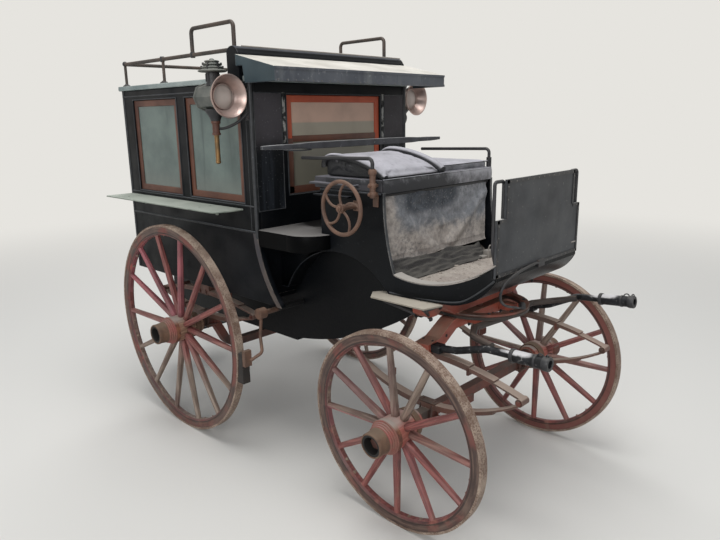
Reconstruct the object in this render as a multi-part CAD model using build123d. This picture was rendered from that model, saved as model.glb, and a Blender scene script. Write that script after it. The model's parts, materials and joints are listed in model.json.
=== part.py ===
from build123d import *
import os
from math import sin, cos

# A private omnibus: a closed cabin entered from behind, a driver's box seat in front, four spoked wheels.
# Millimetres. While modelling, x runs forward from the front axle, y to the left and z up from the floor.

# Clearances: pieces that sit on or in each other, and the slack round a pane in its frame
clear = 0.3
pane_slack = 0.5

# Cabin box, from the photo with the rear wheel taken as 1.15 m across
cabin_front = -910
cabin_rear = -2142
cabin_half_width = 556
wall = 30
floor_thick = 20
sill_height = 800
belt_height = 1151
roof_under = 1858
roof_thick = 25
roof_crown = 30
roof_eave = 12
roof_overhang = 30
well_half_width = 330
well_bottom = 540

# Windows, each in its own frame
window_bottom = 1290
window_head = 58
side_windows = ((-2030, -1562), (-1475, -995))
front_window_half = 338
front_window_raise = 30
frame_width = 34
frame_depth = 16
glass_thick = 4

# Rear door and its hinges
door_half_width = 270
door_sill = 50
door_head = 60
door_gap = 6
door_light_margin = 70
door_light_bottom = 1300
hinge_heights = (800, 1620)
hinge_pin = 4.5
hinge_reach = 9
knuckle = 7.5
knuckle_long = 46

# Driver's boot and seat
boot_half_width = 420
boot_wall = 15
taper_start = -150
taper_mid = (80, 395)
seat_front = -223
seat_back = -640
seat_top = 1429
seat_board = 50
boot_back_face = -600
deck_height = 1165
footwell_floor = 962
toe_front = 290
dash_half_width = 340
dash_top = 1452
dash_thick = 10
hand_hole_wide = 60
hand_hole_high = 150

# Wheels and track
wheelbase = 1480
front_radius = 435
rear_radius = 575
front_wheel_room = 180
rear_wheel_room = 151
front_camber = 0.060
rear_camber = 0.024
front_spokes = 12
rear_spokes = 14
tyre_width = 40
tyre_thick = 10
felloe_depth = 46
felloe_width = 38
felloe_bevel = 9
dish = 24
spoke_stagger = 7
spoke_foot = (31, 38, 9)
spoke_tip = (24, 26, 7)
hub_radius = 70
hub_inner_end = -148
hub_outer_end = 116
hub_bore = 22
nose_bore = 38
nose_depth = 58
collar_thick = 11
collar_radius = 44

# Axles and springs
axle_beam = 44
crank_start = cabin_half_width - 78
crank_end = well_half_width + 55
crank_bend = 95
axle_low = 400
spring_half_span = 445
front_spring_y = 372
front_spring_eye = 628
rear_spring_y = cabin_half_width - 50
rear_spring_eye = 690
leaf_width = 40
leaf_thick = 8
leaf_count = 3
leaf_step = 0.26
eye_radius = 16
spring_pad_high = 40

# Turntable and fore-carriage
ring_outer = 225
ring_inner = 188
ring_thick = 12
ring_gap = 1
lower_ring_top = 848
bolster_drop = 106
king_pin = 15
stub_y = 388
stub_radius = 15
stub_end = 555
stub_rises = {-1: (12, 54, 60), 1: (28, 96, 118)}
grip_long = 150
grip_radius = 24
socket_deep = 60

# Roof fittings, lamps and shelves
visor_reach = 248
visor_half = cabin_half_width + 50
visor_board = 14
crest_half = cabin_half_width + 34
rail_y = cabin_half_width - 26
rail_above_roof = 126
rail_radius = 10
post_radius = 8
lamp_out = 114
lamp_back = 120
shelf_height = 1254
shelf_thick = 6
shelf_reach = 164

# Brake
hand_wheel_radius = 122
hand_wheel_spokes = 5
brake_shaft_z = sill_height - 35
lever_y = cabin_half_width + 44
lever_radius = 8


# Shapes used again and again
def block(x0, x1, y0, y1, z0, z1):
    size = Box(x1 - x0, y1 - y0, z1 - z0)
    return Pos((x0 + x1) / 2, (y0 + y1) / 2, (z0 + z1) / 2) * size


def post(radius, height, x, y, z):
    return Pos(x, y, z) * Cylinder(radius, height, align=(Align.CENTER, Align.CENTER, Align.MIN))


def drum(radius, y0, y1, x, z):
    return Pos(x, y0, z) * Rot(-90, 0, 0) * post(radius, y1 - y0, 0, 0, 0)


def outline(points):
    return make_face(Polyline(*points, close=True))


def symmetric(half):
    return outline(tuple(half) + tuple((-y, z) for y, z in reversed(half)))


def across_line(half):
    return [(x, -y, z) for x, y, z in half] + list(reversed(half))


def side_plate(face, y0, y1):
    plane = Plane(origin=(0, y1, 0), x_dir=(1, 0, 0), z_dir=(0, -1, 0))
    return extrude(plane * face, y1 - y0)


def cross_plate(face, x0, x1):
    plane = Plane(origin=(x0, 0, 0), x_dir=(0, 1, 0), z_dir=(1, 0, 0))
    return extrude(plane * face, x1 - x0)


def flat_plate(face, z0, z1):
    return extrude(Pos(0, 0, z0) * face, z1 - z0)


def bent_path(points, bend):
    if len(points) == 2:
        return Line(*points)
    return FilletPolyline(*points, radius=bend)


def rod(points, radius, bend=30):
    path = bent_path(points, bend)
    return sweep(Plane(origin=path @ 0, z_dir=path % 0) * Circle(radius), path=path)


def strap(points, width, thick, bend, across=(0, 1, 0)):
    path = bent_path(points, bend)
    section = Plane(origin=path @ 0, x_dir=across, z_dir=path % 0) * Rectangle(width, thick)
    return sweep(section, path=path)


def mirrored(shape):
    return mirror(shape, about=Plane.XZ)


def both_sides(shape):
    return shape + mirrored(shape)


def pair(shape):
    return Compound(children=[shape, mirrored(shape)])


nodes = {}

# Wheels. In a wheel's own frame z is the spin axis, pointing out, and the tyre's outer face is at 0
front_half_track = boot_half_width + front_wheel_room
rear_half_track = cabin_half_width + rear_wheel_room
arm_radius = hub_bore - clear
middle = -tyre_width / 2


def wheel_place(radius, half_track, x, camber, side):
    out = Vector(0, side * cos(camber), -sin(camber))
    up = Vector(0, side * sin(camber), cos(camber))
    centre = Vector(x, side * half_track, 0) + up * radius
    return Plane(origin=centre, x_dir=(1, 0, 0), z_dir=out)


def tube(outer, inner, z0, z1):
    return post(outer, z1 - z0, 0, 0, z0) - post(inner, z1 - z0, 0, 0, z0)


def shaved(width, depth, corner):
    w, d = width / 2, depth / 2
    right = ((w, corner - d), (w, d - corner), (w - corner, d), (corner - w, d))
    return outline(right + tuple((-x, -z) for x, z in right))


def spoke(inner, outer, turn, stagger):
    foot = Plane(origin=(inner, 0, middle - dish + stagger), x_dir=(0, 1, 0), z_dir=(1, 0, 0))
    tip = Plane(origin=(outer, 0, middle), x_dir=(0, 1, 0), z_dir=(1, 0, 0))
    return Rot(0, 0, turn) * loft([foot * shaved(*spoke_foot), tip * shaved(*spoke_tip)], ruled=True)


def wheel_wood(radius, count):
    outer = radius - tyre_thick
    inner = outer - felloe_depth
    rim = tube(outer, inner, middle - felloe_width / 2, middle + felloe_width / 2)
    inner_edges = rim.edges().filter_by(GeomType.CIRCLE).sort_by(SortBy.RADIUS)[:2]
    rim = chamfer(inner_edges, felloe_bevel)
    nave = post(hub_radius, 400, 0, 0, -200)
    legs = []
    for i in range(count):
        stagger = spoke_stagger if i % 2 else -spoke_stagger
        legs.append(spoke(hub_radius - 6, inner + felloe_bevel, i * 360 / count, stagger) - nave)
    return rim + legs


def hub():
    bore_end = hub_outer_end - nose_depth
    profile = (
        (hub_bore, hub_inner_end), (54, hub_inner_end), (62, -118), (66, -92), (hub_radius, -88),
        (hub_radius, 6), (hub_radius + 3, 8), (hub_radius + 3, 30), (64, 36), (62, 42), (57, 50),
        (50, hub_outer_end), (nose_bore, hub_outer_end), (nose_bore, bore_end), (hub_bore, bore_end),
    )
    return revolve(Plane.XZ * outline(profile), Axis.Z)


def axle_arm():
    start = hub_inner_end - collar_thick - 3
    nut_start = hub_outer_end - nose_depth + 4
    nut = Pos(0, 0, nut_start) * extrude(RegularPolygon(29, 6), 26)
    return post(collar_radius, collar_thick, 0, 0, start) + post(arm_radius, 250, 0, 0, start) + nut


# Each row: name, radius, half track, x, camber, side, number of spokes
wheels = (
    ("front_right", front_radius, front_half_track, 0, front_camber, -1, front_spokes),
    ("front_left", front_radius, front_half_track, 0, front_camber, 1, front_spokes),
    ("rear_right", rear_radius, rear_half_track, -wheelbase, rear_camber, -1, rear_spokes),
    ("rear_left", rear_radius, rear_half_track, -wheelbase, rear_camber, 1, rear_spokes),
)
arms = {}
for name, radius, half_track, x, camber, side, count in wheels:
    place = wheel_place(radius, half_track, x, camber, side)
    nodes[name + "_tyre"] = place * tube(radius, radius - tyre_thick, -tyre_width, 0)
    nodes[name + "_spoked_rim"] = place * wheel_wood(radius, count)
    nodes[name + "_hub"] = place * hub()
    arms[name] = place * axle_arm()


# Axles: a straight one in front, one that drops under the cabin's well behind
def arm_root(radius, half_track, x, camber):
    place = wheel_place(radius, half_track, x, camber, 1)
    return place.origin + place.z_dir * (hub_inner_end - 8)


half_beam = axle_beam / 2
front_root = arm_root(front_radius, front_half_track, 0, front_camber)
front_beam = block(
    -half_beam, half_beam, -front_root.Y, front_root.Y, front_root.Z - half_beam, front_root.Z + half_beam
)
nodes["front_axle"] = front_beam + arms["front_right"] + arms["front_left"]

rear_root = arm_root(rear_radius, rear_half_track, -wheelbase, rear_camber)
rear_half = (
    (-wheelbase, rear_root.Y, rear_root.Z), (-wheelbase, crank_start, rear_root.Z),
    (-wheelbase, crank_end, axle_low),
)
rear_beam = strap(across_line(rear_half), axle_beam, axle_beam, crank_bend, (1, 0, 0))
nodes["rear_axle"] = rear_beam + arms["rear_right"] + arms["rear_left"]


# Full-elliptic springs: two bows of leaves that meet at their eyes, the short leaves outside
def leaf(radius, half, x_mid, z_centre, up):
    rise = up * (radius ** 2 - half ** 2) ** 0.5
    grow = (radius + leaf_thick) / radius
    inner = ThreePointArc(
        (x_mid - half, z_centre + rise), (x_mid, z_centre + up * radius), (x_mid + half, z_centre + rise)
    )
    outer = ThreePointArc(
        (x_mid - half * grow, z_centre + rise * grow),
        (x_mid, z_centre + up * (radius + leaf_thick)),
        (x_mid + half * grow, z_centre + rise * grow),
    )
    return make_face(inner + outer + Line(inner @ 0, outer @ 0) + Line(inner @ 1, outer @ 1))


def bow(x_mid, y, z_eye, z_inside):
    up = 1 if z_inside > z_eye else -1
    rise = abs(z_inside - z_eye)
    radius = (spring_half_span ** 2 + rise ** 2) / (2 * rise)
    z_centre = z_inside - up * radius
    face = leaf(radius, spring_half_span, x_mid, z_centre, up)
    for i in range(1, leaf_count):
        face += leaf(radius + leaf_thick * i, spring_half_span * (1 - leaf_step * i), x_mid, z_centre, up)
    return side_plate(face, y - leaf_width / 2, y + leaf_width / 2)


def elliptic_spring(x_mid, y, z_eye, z_top, z_low):
    pack = leaf_thick * leaf_count
    spring = bow(x_mid, y, z_eye + eye_radius / 2, z_top - pack)
    spring += bow(x_mid, y, z_eye - eye_radius / 2, z_low + pack)
    for end in (-spring_half_span, spring_half_span):
        spring += drum(eye_radius, y - leaf_width / 2 - 6, y + leaf_width / 2 + 6, x_mid + end, z_eye)
    return spring


bolster_top = lower_ring_top - ring_thick
front_spring_top = bolster_top - bolster_drop
front_spring = elliptic_spring(
    0, front_spring_y, front_spring_eye, front_spring_top, front_root.Z + half_beam
)
nodes["front_springs"] = pair(front_spring)

pad_low = sill_height - spring_pad_high
spring_pad = block(
    -wheelbase - 60, -wheelbase + 60,
    rear_spring_y - leaf_width / 2 - 4, cabin_half_width - wall + 4, pad_low, sill_height
)
rear_spring = elliptic_spring(
    -wheelbase, rear_spring_y, rear_spring_eye, pad_low, rear_root.Z + half_beam + clear
)
nodes["rear_springs"] = pair(rear_spring + spring_pad)

# Fore-carriage: a bolster on the springs with the lower wheel plate, two shaft stubs and the bow between them
bolster_end_top = front_spring_top + 38
bolster_half = (
    (ring_outer, bolster_top - 44), (front_spring_y - 42, front_spring_top),
    (front_spring_y + 53, front_spring_top), (front_spring_y + 53, bolster_end_top),
    (front_spring_y - 22, bolster_end_top + 10), (ring_outer + 20, bolster_top),
)
bolster_half_thick = 36
bolster = cross_plate(symmetric(bolster_half), -bolster_half_thick, bolster_half_thick)
futchell = block(-205, 112, 110, 150, bolster_top - 34, bolster_top)
king_bore = post(king_pin + clear, 200, 0, 0, bolster_top - 100)
nodes["fore_bolster"] = bolster + both_sides(futchell) - king_bore

ring = tube(ring_outer, ring_inner, 0, ring_thick)
nodes["lower_wheel_plate"] = Pos(0, 0, bolster_top) * ring

stub_low = front_spring_top + 22
stub_bend = 290
stub_tip = stub_end - 20


def shaft_stub(side):
    y = side * stub_y
    first, second, last = stub_rises[side]
    line = (
        (bolster_half_thick + 12, y, stub_low), (150, y, stub_low + first),
        (stub_bend, y, stub_low + second), (stub_tip, y, stub_low + last),
    )
    rise = (last - second) / (stub_tip - stub_bend)
    grip_x = stub_end - grip_long
    grip_z = stub_low + second + rise * (grip_x - stub_bend)
    start = Plane(origin=(grip_x, y, grip_z), z_dir=(1, 0, rise))
    socket = start * post(stub_radius, socket_deep + 30, 0, 0, grip_long - socket_deep)
    foot = block(bolster_half_thick + clear, 80, y - 22, y + 22, front_spring_top + 6, bolster_end_top)
    return rod(line, stub_radius, 60) + start * post(grip_radius, grip_long, 0, 0, 0) + foot - socket


bow_z = bolster_top - 15
bow_line = (
    (300, 22 - stub_y, stub_low + 62), (190, -335, bow_z), (135, -235, bow_z), (165, 0, bow_z),
    (135, 235, bow_z), (190, 335, bow_z), (300, stub_y - 22, stub_low + 94),
)
stubs = [shaft_stub(-1), shaft_stub(1)]
nodes["shaft_bow"] = rod(bow_line, 14, 30) - stubs
nodes["shaft_stubs"] = Compound(children=stubs)

# Body side of the turntable: the transom with the king pin and the upper wheel plate
plate_low = lower_ring_top + ring_gap
transom_low = plate_low + ring_thick
transom_top = footwell_floor - boot_wall
step_low = transom_top - 9
transom_half = (
    (382, transom_top), (382, step_low - clear), (440, step_low - clear), (440, transom_low + 39),
    (415, transom_low + 23), (370, transom_low + 23), (330, transom_low + 44), (290, transom_low + 23),
    (ring_outer + 20, transom_low),
)
transom_half_thick = 38
transom = cross_plate(symmetric(transom_half), -transom_half_thick, transom_half_thick)
pin_low = bolster_top - 40
pin = post(king_pin, transom_low + 10 - pin_low, 0, 0, pin_low)
nodes["transom"] = transom + pin + Pos(0, 0, plate_low) * ring

# Cabin floor: a low well between two raised shelves that carry the benches
shelf_top = sill_height + floor_thick
inside = cabin_half_width - wall
well_inside = well_half_width - floor_thick
floor_half = (
    (well_half_width, well_bottom), (well_half_width, sill_height), (inside, sill_height),
    (inside, shelf_top), (well_inside, shelf_top), (well_inside, well_bottom + floor_thick),
)
nodes["cabin_floor"] = cross_plate(symmetric(floor_half), cabin_rear, cabin_front)


# Cabin walls
def end_wall(x0, x1):
    upper = block(x0, x1, -inside, inside, shelf_top, roof_under)
    tongue = block(x0, x1, -well_inside, well_inside, well_bottom + floor_thick, shelf_top)
    return upper + tongue


window_top = roof_under - window_head
front_window_low = window_bottom + front_window_raise
front_hole = block(
    cabin_front - 2 * wall, cabin_front + wall,
    -front_window_half, front_window_half, front_window_low, window_top
)
nodes["front_wall"] = end_wall(cabin_front - wall, cabin_front) - front_hole

door_bottom = well_bottom + door_sill
door_top = roof_under - door_head
doorway = block(
    cabin_rear - wall, cabin_rear + 2 * wall, -door_half_width - door_gap, door_half_width + door_gap,
    door_bottom - door_gap, door_top + door_gap
)
hinge_x = cabin_rear - hinge_reach
hinge_y = -door_half_width - door_gap / 2
leaf_face = cabin_rear - 5
rear_wall = end_wall(cabin_rear, cabin_rear + wall) - doorway
for z in hinge_heights:
    rear_wall += post(hinge_pin, knuckle_long + 48, hinge_x, hinge_y, z - 24)
    for low in (z - 26, z + knuckle_long + 2):
        rear_wall += post(knuckle, 24, hinge_x, hinge_y, low)
        rear_wall += block(leaf_face, cabin_rear, hinge_y - 44, hinge_y - 2, low, low + 24)
nodes["rear_wall"] = rear_wall

# The side wall's lower front corner sweeps forward over the boot
sweep_foot = cabin_front + 160
sweep_mid = (cabin_front + 42, (belt_height + sill_height) / 2 + 10)
side_shape = make_face(
    Line((cabin_rear, sill_height), (cabin_rear, roof_under))
    + Line((cabin_rear, roof_under), (cabin_front, roof_under))
    + Line((cabin_front, roof_under), (cabin_front, belt_height))
    + ThreePointArc((cabin_front, belt_height), sweep_mid, (sweep_foot, sill_height))
    + Line((sweep_foot, sill_height), (cabin_rear, sill_height))
)
side_wall = side_plate(side_shape, -cabin_half_width, -inside)
for x0, x1 in side_windows:
    side_wall -= block(x0, x1, -cabin_half_width - wall, wall - inside, window_bottom, window_top)
nodes["side_wall_right"] = side_wall
nodes["side_wall_left"] = mirrored(side_wall)

# Roof: a board with a crowned top
eave = cabin_half_width + roof_eave
roof_edge = roof_under + roof_thick
roof_face = make_face(
    Line((-eave, roof_under), (eave, roof_under))
    + Line((eave, roof_under), (eave, roof_edge))
    + ThreePointArc((eave, roof_edge), (0, roof_edge + roof_crown), (-eave, roof_edge))
    + Line((-eave, roof_edge), (-eave, roof_under))
)
nodes["roof"] = cross_plate(roof_face, cabin_rear - roof_overhang, cabin_front + roof_overhang / 2)


# Window frames and glass
def window_frame(width, height):
    hole = Box(width - 2 * frame_width, height - 2 * frame_width, 2 * frame_depth)
    return Box(width, height, frame_depth) - hole


def window_pane(width, height):
    shrink = 2 * frame_width + 2 * pane_slack
    return Box(width - shrink, height - shrink, glass_thick)


frames = []
panes = []
frame_mid = cabin_half_width - wall / 2
window_high = window_top - window_bottom
for side in (-1, 1):
    for x0, x1 in side_windows:
        middle_point = ((x0 + x1) / 2, side * frame_mid, (window_bottom + window_top) / 2)
        spot = Plane(origin=middle_point, x_dir=(1, 0, 0), z_dir=(0, -1, 0))
        frames.append(spot * window_frame(x1 - x0 - 2 * clear, window_high - 2 * clear))
        panes.append(spot * window_pane(x1 - x0, window_high))
front_spot = Plane(
    origin=(cabin_front - wall / 2, 0, (front_window_low + window_top) / 2), x_dir=(0, 1, 0), z_dir=(1, 0, 0)
)
front_high = window_top - front_window_low
panes.append(front_spot * window_pane(2 * front_window_half, front_high))
nodes["side_window_frames"] = Compound(children=frames)
front_frame = window_frame(2 * front_window_half - 2 * clear, front_high - 2 * clear)
nodes["front_window_frame"] = front_spot * front_frame
nodes["window_glass"] = Compound(children=panes)

# Benches inside, one along each side
bench_top = shelf_top + 190
bench_back = cabin_rear + wall
bench_front = cabin_front - wall - 1
bench = block(bench_back, bench_front, well_inside, inside, shelf_top, bench_top)
nodes["bench_boxes"] = pair(bench)
cushion = block(
    bench_back + 4, bench_front - 4, well_inside - 20, inside - 2, bench_top + clear, bench_top + 80
)
nodes["bench_cushions"] = pair(fillet(cushion.edges().filter_by(Axis.X), 18))

# Rear door, hung on its right-hand edge
door_panel = block(cabin_rear, cabin_rear + wall, -door_half_width, door_half_width, door_bottom, door_top)
light_half = door_half_width - door_light_margin
light_top = door_top - door_light_margin
door_light = block(
    cabin_rear - wall, cabin_rear + 2 * wall, -light_half, light_half, door_light_bottom, light_top
)
door = door_panel - door_light
for z in hinge_heights:
    door += block(leaf_face, cabin_rear, hinge_y + 4, hinge_y + 46, z, z + knuckle_long)
    door += post(knuckle, knuckle_long, hinge_x, hinge_y, z)
    door -= post(hinge_pin + clear, knuckle_long, hinge_x, hinge_y, z)
nodes["rear_door"] = door
nodes["rear_door_glass"] = block(
    cabin_rear + wall / 2 - glass_thick / 2, cabin_rear + wall / 2 + glass_thick / 2,
    pane_slack - light_half, light_half - pane_slack, door_light_bottom + pane_slack, light_top - pane_slack
)
handle_y = door_half_width - 40
handle_z = (door_bottom + door_top) / 2 - 5
handle_x = cabin_rear - 32
handle_line = (
    (cabin_rear, handle_y, handle_z), (handle_x, handle_y, handle_z), (handle_x, handle_y, handle_z - 90)
)
nodes["door_handle"] = rod(handle_line, 7, 12)

# Visor over the driver: a deep front board, a sloping top and two cheeks
visor_front = cabin_front + visor_reach
visor_back = cabin_front - 30
visor_low = roof_under - 12
front_lip = visor_low + 62
back_lip = roof_under + 118
under_front = visor_front - visor_board
visor_top = outline(
    (
        (visor_front, visor_low), (visor_front, front_lip), (visor_back, back_lip),
        (visor_back, back_lip - 32), (under_front, front_lip - 20), (under_front, visor_low),
    )
)
visor_cheek = outline(
    (
        (under_front, visor_low), (under_front, front_lip - 8), (visor_back, back_lip - 8),
        (visor_back, roof_edge + 41), (cabin_front + 20, roof_edge + 41), (cabin_front + 32, visor_low),
    )
)
cheek = side_plate(visor_cheek, visor_half - visor_board, visor_half)
nodes["visor"] = side_plate(visor_top, -visor_half, visor_half) + both_sides(cheek)

# The raised board behind the visor
crest_front = visor_back - clear
crest_back = crest_front - 90
crest_top = back_lip + 40
crest_start = (crest_back, crest_top - 20)
crest_end = (crest_front - 16, crest_top - 12)
crest_face = make_face(
    Line((crest_back, roof_under), crest_start)
    + ThreePointArc(crest_start, (crest_back + 28, crest_top), crest_end)
    + Line(crest_end, (crest_front, crest_top - 34))
    + Line((crest_front, crest_top - 34), (crest_front, roof_under))
    + Line((crest_front, roof_under), (crest_back, roof_under))
)
nodes["roof_crest"] = side_plate(crest_face, -crest_half, crest_half) - nodes["roof"]

# Luggage rail with a raised hoop on each side
rail_z = roof_edge + rail_above_roof
rail_back = cabin_rear + 10
hoop_back = cabin_front - 494
hoop_front = crest_back - rail_radius - 4
hoop_top = rail_z + 125
foot_z = roof_under + 5
half_rail = rod(((rail_back, rail_y, rail_z), (hoop_front, rail_y, rail_z)), rail_radius)
for x in (rail_back, (rail_back + cabin_front) / 2 - 180):
    half_rail += rod(((x, rail_y, foot_z), (x, rail_y, rail_z)), post_radius)
hoop_line = (
    (hoop_back, rail_y, rail_z), (hoop_back, rail_y, hoop_top), (hoop_front, rail_y, hoop_top),
    (hoop_front, rail_y, foot_z),
)
half_rail += rod(hoop_line, rail_radius, 25)
cross_rail = rod(((rail_back, -rail_y, rail_z), (rail_back, rail_y, rail_z)), rail_radius)
nodes["luggage_rail"] = cross_rail + both_sides(half_rail) - nodes["roof"]

# Mudguard shelves over the rear wheels
shelf_out = cabin_half_width + shelf_reach
shelf_corner = (cabin_front - 170, -shelf_out)
shelf_nose = (cabin_front - 122, -shelf_out + 34)
shelf_tip = (cabin_front - 104, -cabin_half_width)
shelf_face = make_face(
    Line((cabin_rear, -cabin_half_width), (cabin_rear, -shelf_out))
    + Line((cabin_rear, -shelf_out), shelf_corner)
    + ThreePointArc(shelf_corner, shelf_nose, shelf_tip)
    + Line(shelf_tip, (cabin_rear, -cabin_half_width))
)
shelf = flat_plate(shelf_face, shelf_height, shelf_height + shelf_thick)
for x in (cabin_rear + 160, cabin_front - 330):
    bracket_line = (
        (x, -cabin_half_width - 3, shelf_height - 46), (x, -cabin_half_width - 3, shelf_height - 3),
        (x, -shelf_out + 60, shelf_height - 3),
    )
    shelf += strap(bracket_line, 22, 6, 18, (1, 0, 0))
nodes["rear_mudguards"] = pair(shelf)


# Lamps: a barrel with a flared front, a vented crown, and a candle tube in its socket
def lamp(side):
    x = cabin_front - lamp_back
    y = side * (cabin_half_width + lamp_out)
    z = window_top - 10
    face = Plane(origin=(x, y, z), x_dir=(0, 1, 0), z_dir=(1, 0, 0))
    bell = ((0, 66), (62, 66), (90, 112), (94, 118), (88, 118), (58, 74), (0, 74))
    crown = ((0, 0), (62, 0), (64, 10), (48, 22), (44, 34), (14, 44), (8, 56), (0, 58))
    shape = face * (post(62, 160, 0, 0, -90) + revolve(Plane.XZ * outline(bell), Axis.Z))
    shape += post(32, 62, x, y, z + 55) + Pos(x, y, z + 112) * revolve(Plane.XZ * outline(crown), Axis.Z)
    for radius, height, drop in ((38, 58, 108), (19, 66, 172), (12, 136, 306)):
        shape += post(radius, height, x, y, z - drop)
    near = side * (cabin_half_width + 8)
    arm_end = (cabin_front - 12, side * (cabin_half_width + 10), z - 62)
    arm_line = ((x, y - side * 12, z - 140), (x + 90, y - side * 20, z - 120), arm_end)
    plate = (min(side * cabin_half_width, near), max(side * cabin_half_width, near))
    return shape + rod(arm_line, 8, 25) + block(cabin_front - 30, cabin_front - 4, *plate, z - 110, z - 20)


nodes["lamp_right"] = lamp(-1)
nodes["lamp_left"] = lamp(1)

# Boot floor: one board that drops from the toe through the footwell to the cabin's well
floor_start = well_bottom + 16
low_mid = (-584, 670)
low_end = (-227, 890)
skirt_mid = (-500, 656)
skirt_end = (-112, 856)
skirt_front = -60
level_back = -80
level_front = 120
toe_low = footwell_floor + 100
toe_top = toe_low + boot_wall
toe_bend = (220, footwell_floor + 23)
wing_back = -190


def lifted(point, lift):
    return (point[0], point[1] + lift)


def toe_line(start, lift):
    level = transom_top + lift
    bend = ThreePointArc((level_front, level), lifted(toe_bend, lift), (toe_front, toe_low + lift))
    return Line((start, level), (level_front, level)) + bend


def floor_line(lift):
    end = lifted(low_end, lift)
    curve = ThreePointArc((cabin_front, floor_start + lift), lifted(low_mid, lift), end)
    return curve + Line(end, (level_back, transom_top + lift)) + toe_line(level_back, lift)


def riser(x, low):
    return Line((x, low), (x, low + boot_wall))


# The boot narrows from the seat to the toe: the plan of its cheeks, and of the floor between them
cheek_inside = boot_half_width - boot_wall
toe_side = (toe_front, dash_half_width)


def taper(start_y, mid_y, end_y):
    return ThreePointArc((taper_start, start_y), (taper_mid[0], mid_y), (toe_front, end_y))


outer_taper = taper(boot_half_width, taper_mid[1], dash_half_width)
inner_taper = taper(cheek_inside, taper_mid[1] - boot_wall, dash_half_width - boot_wall)
cheek_plan = make_face(
    Line((cabin_front, cheek_inside), (cabin_front, boot_half_width))
    + Line((cabin_front, boot_half_width), (taper_start, boot_half_width))
    + outer_taper
    + Line(toe_side, (toe_front, dash_half_width - boot_wall))
    + inner_taper
    + Line((taper_start, cheek_inside), (cabin_front, cheek_inside))
)
wing_taper = taper(cheek_inside, taper_mid[1] - boot_wall - clear, dash_half_width - boot_wall - clear)
wing_plan = make_face(
    Line((cabin_front, 0), (cabin_front, cheek_inside))
    + Line((cabin_front, cheek_inside), (taper_start, cheek_inside))
    + wing_taper
    + Line((toe_front, dash_half_width - boot_wall - clear), (toe_front, 0))
    + Line((toe_front, 0), (cabin_front, 0))
)

toe_end = riser(toe_front, toe_low)
tub_inside = well_half_width - boot_wall
bottom_face = make_face(floor_line(0) + floor_line(boot_wall) + riser(cabin_front, floor_start) + toe_end)
bottom = side_plate(bottom_face, -tub_inside, tub_inside)
wing_end = riser(wing_back, transom_top)
wing_face = make_face(toe_line(wing_back, 0) + toe_line(wing_back, boot_wall) + wing_end + toe_end)
wing = side_plate(wing_face, tub_inside, cheek_inside) & flat_plate(wing_plan, 0, roof_under)
nodes["boot_floor"] = bottom + both_sides(wing)

# Inner sides of the boot, which hang below its floor, and the arched lids over the front wheels' room
deck_low = deck_height - boot_wall
tub_front = seat_front - 16
tub_face = make_face(
    ThreePointArc((cabin_front, floor_start), skirt_mid, skirt_end)
    + Line(skirt_end, (skirt_front, transom_top))
    + Line((skirt_front, transom_top), (wing_back, transom_top))
    + Line((wing_back, transom_top), (tub_front, transom_top + 41))
    + Line((tub_front, transom_top + 41), (tub_front, deck_low))
    + Line((tub_front, deck_low), (cabin_front, deck_low))
    + Line((cabin_front, deck_low), (cabin_front, floor_start))
)
tub_side = side_plate(tub_face, tub_inside, well_half_width)
arch_back = (-860, 860)
arch_top = (-512, 1088)
arch_front = (wing_back, transom_top)


def arch_line(lift):
    return ThreePointArc(lifted(arch_back, lift), lifted(arch_top, lift), lifted(arch_front, lift))


wheelhouse_face = make_face(arch_line(0) + arch_line(boot_wall) + riser(*arch_back) + riser(*arch_front))
wheelhouse = side_plate(wheelhouse_face, well_half_width, cheek_inside)
nodes["boot_inner_sides"] = pair(tub_side + wheelhouse)

# Outer cheeks: cut round the front wheel, swept down from the seat to the toe
board_low = seat_top - seat_board
rim_toe = (toe_front, toe_low + 63)
rim_bend = (30, footwell_floor + 54)
rim_low = (-160, footwell_floor + 70)
rim_side = (-204, footwell_floor + 238)
rim_top = (seat_front + 6, board_low)
cheek_face = make_face(
    arch_line(0)
    + toe_line(wing_back, 0)
    + Line((toe_front, toe_low), rim_toe)
    + ThreePointArc(rim_toe, rim_bend, rim_low)
    + ThreePointArc(rim_low, rim_side, rim_top)
    + Line(rim_top, (boot_back_face, board_low))
    + Line((boot_back_face, board_low), (boot_back_face, deck_low))
    + Line((boot_back_face, deck_low), (cabin_front, deck_low))
    + Line((cabin_front, deck_low), (cabin_front, arch_back[1]))
    + Line((cabin_front, arch_back[1]), arch_back)
)
dash_back = toe_front - dash_thick
dash_room = block(dash_back - clear, toe_front, 0, boot_half_width, toe_top, dash_top)
rub_board = block(-623, -397, boot_half_width, boot_half_width + 26, board_low - 34, board_low - 26)
bent_cheek = side_plate(cheek_face, tub_inside, boot_half_width) & flat_plate(cheek_plan, 0, roof_under)
boot_cheek = bent_cheek - dash_room + rub_board
nodes["boot_cheek_right"] = mirrored(boot_cheek)
nodes["boot_cheek_left"] = boot_cheek

# Deck and panel behind the seat, with a rounded shoulder on each side that fills in to the cabin's corner
shoulder_thick = 80
shoulder_curve = (-700, cabin_half_width - 4)
shoulder_bend = (-585, cabin_half_width - 40)
shoulder_end = (-540, boot_half_width)
shoulder_face = make_face(
    Line((cabin_front, boot_half_width), (cabin_front, cabin_half_width))
    + Line((cabin_front, cabin_half_width), shoulder_curve)
    + ThreePointArc(shoulder_curve, shoulder_bend, shoulder_end)
    + Line(shoulder_end, (cabin_front, boot_half_width))
)
wheel_room = drum(330, 0, cabin_half_width + 50, -500, 770)
shoulder = flat_plate(shoulder_face, deck_height - shoulder_thick, deck_height) - wheel_room
shoulder = shoulder - side_plate(side_shape, inside, cabin_half_width + 9)
deck = block(cabin_front, boot_back_face, -boot_half_width, boot_half_width, deck_low, deck_height)
seat_back_panel = block(
    boot_back_face - boot_wall, boot_back_face, -cheek_inside, cheek_inside, deck_low, board_low
)
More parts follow.
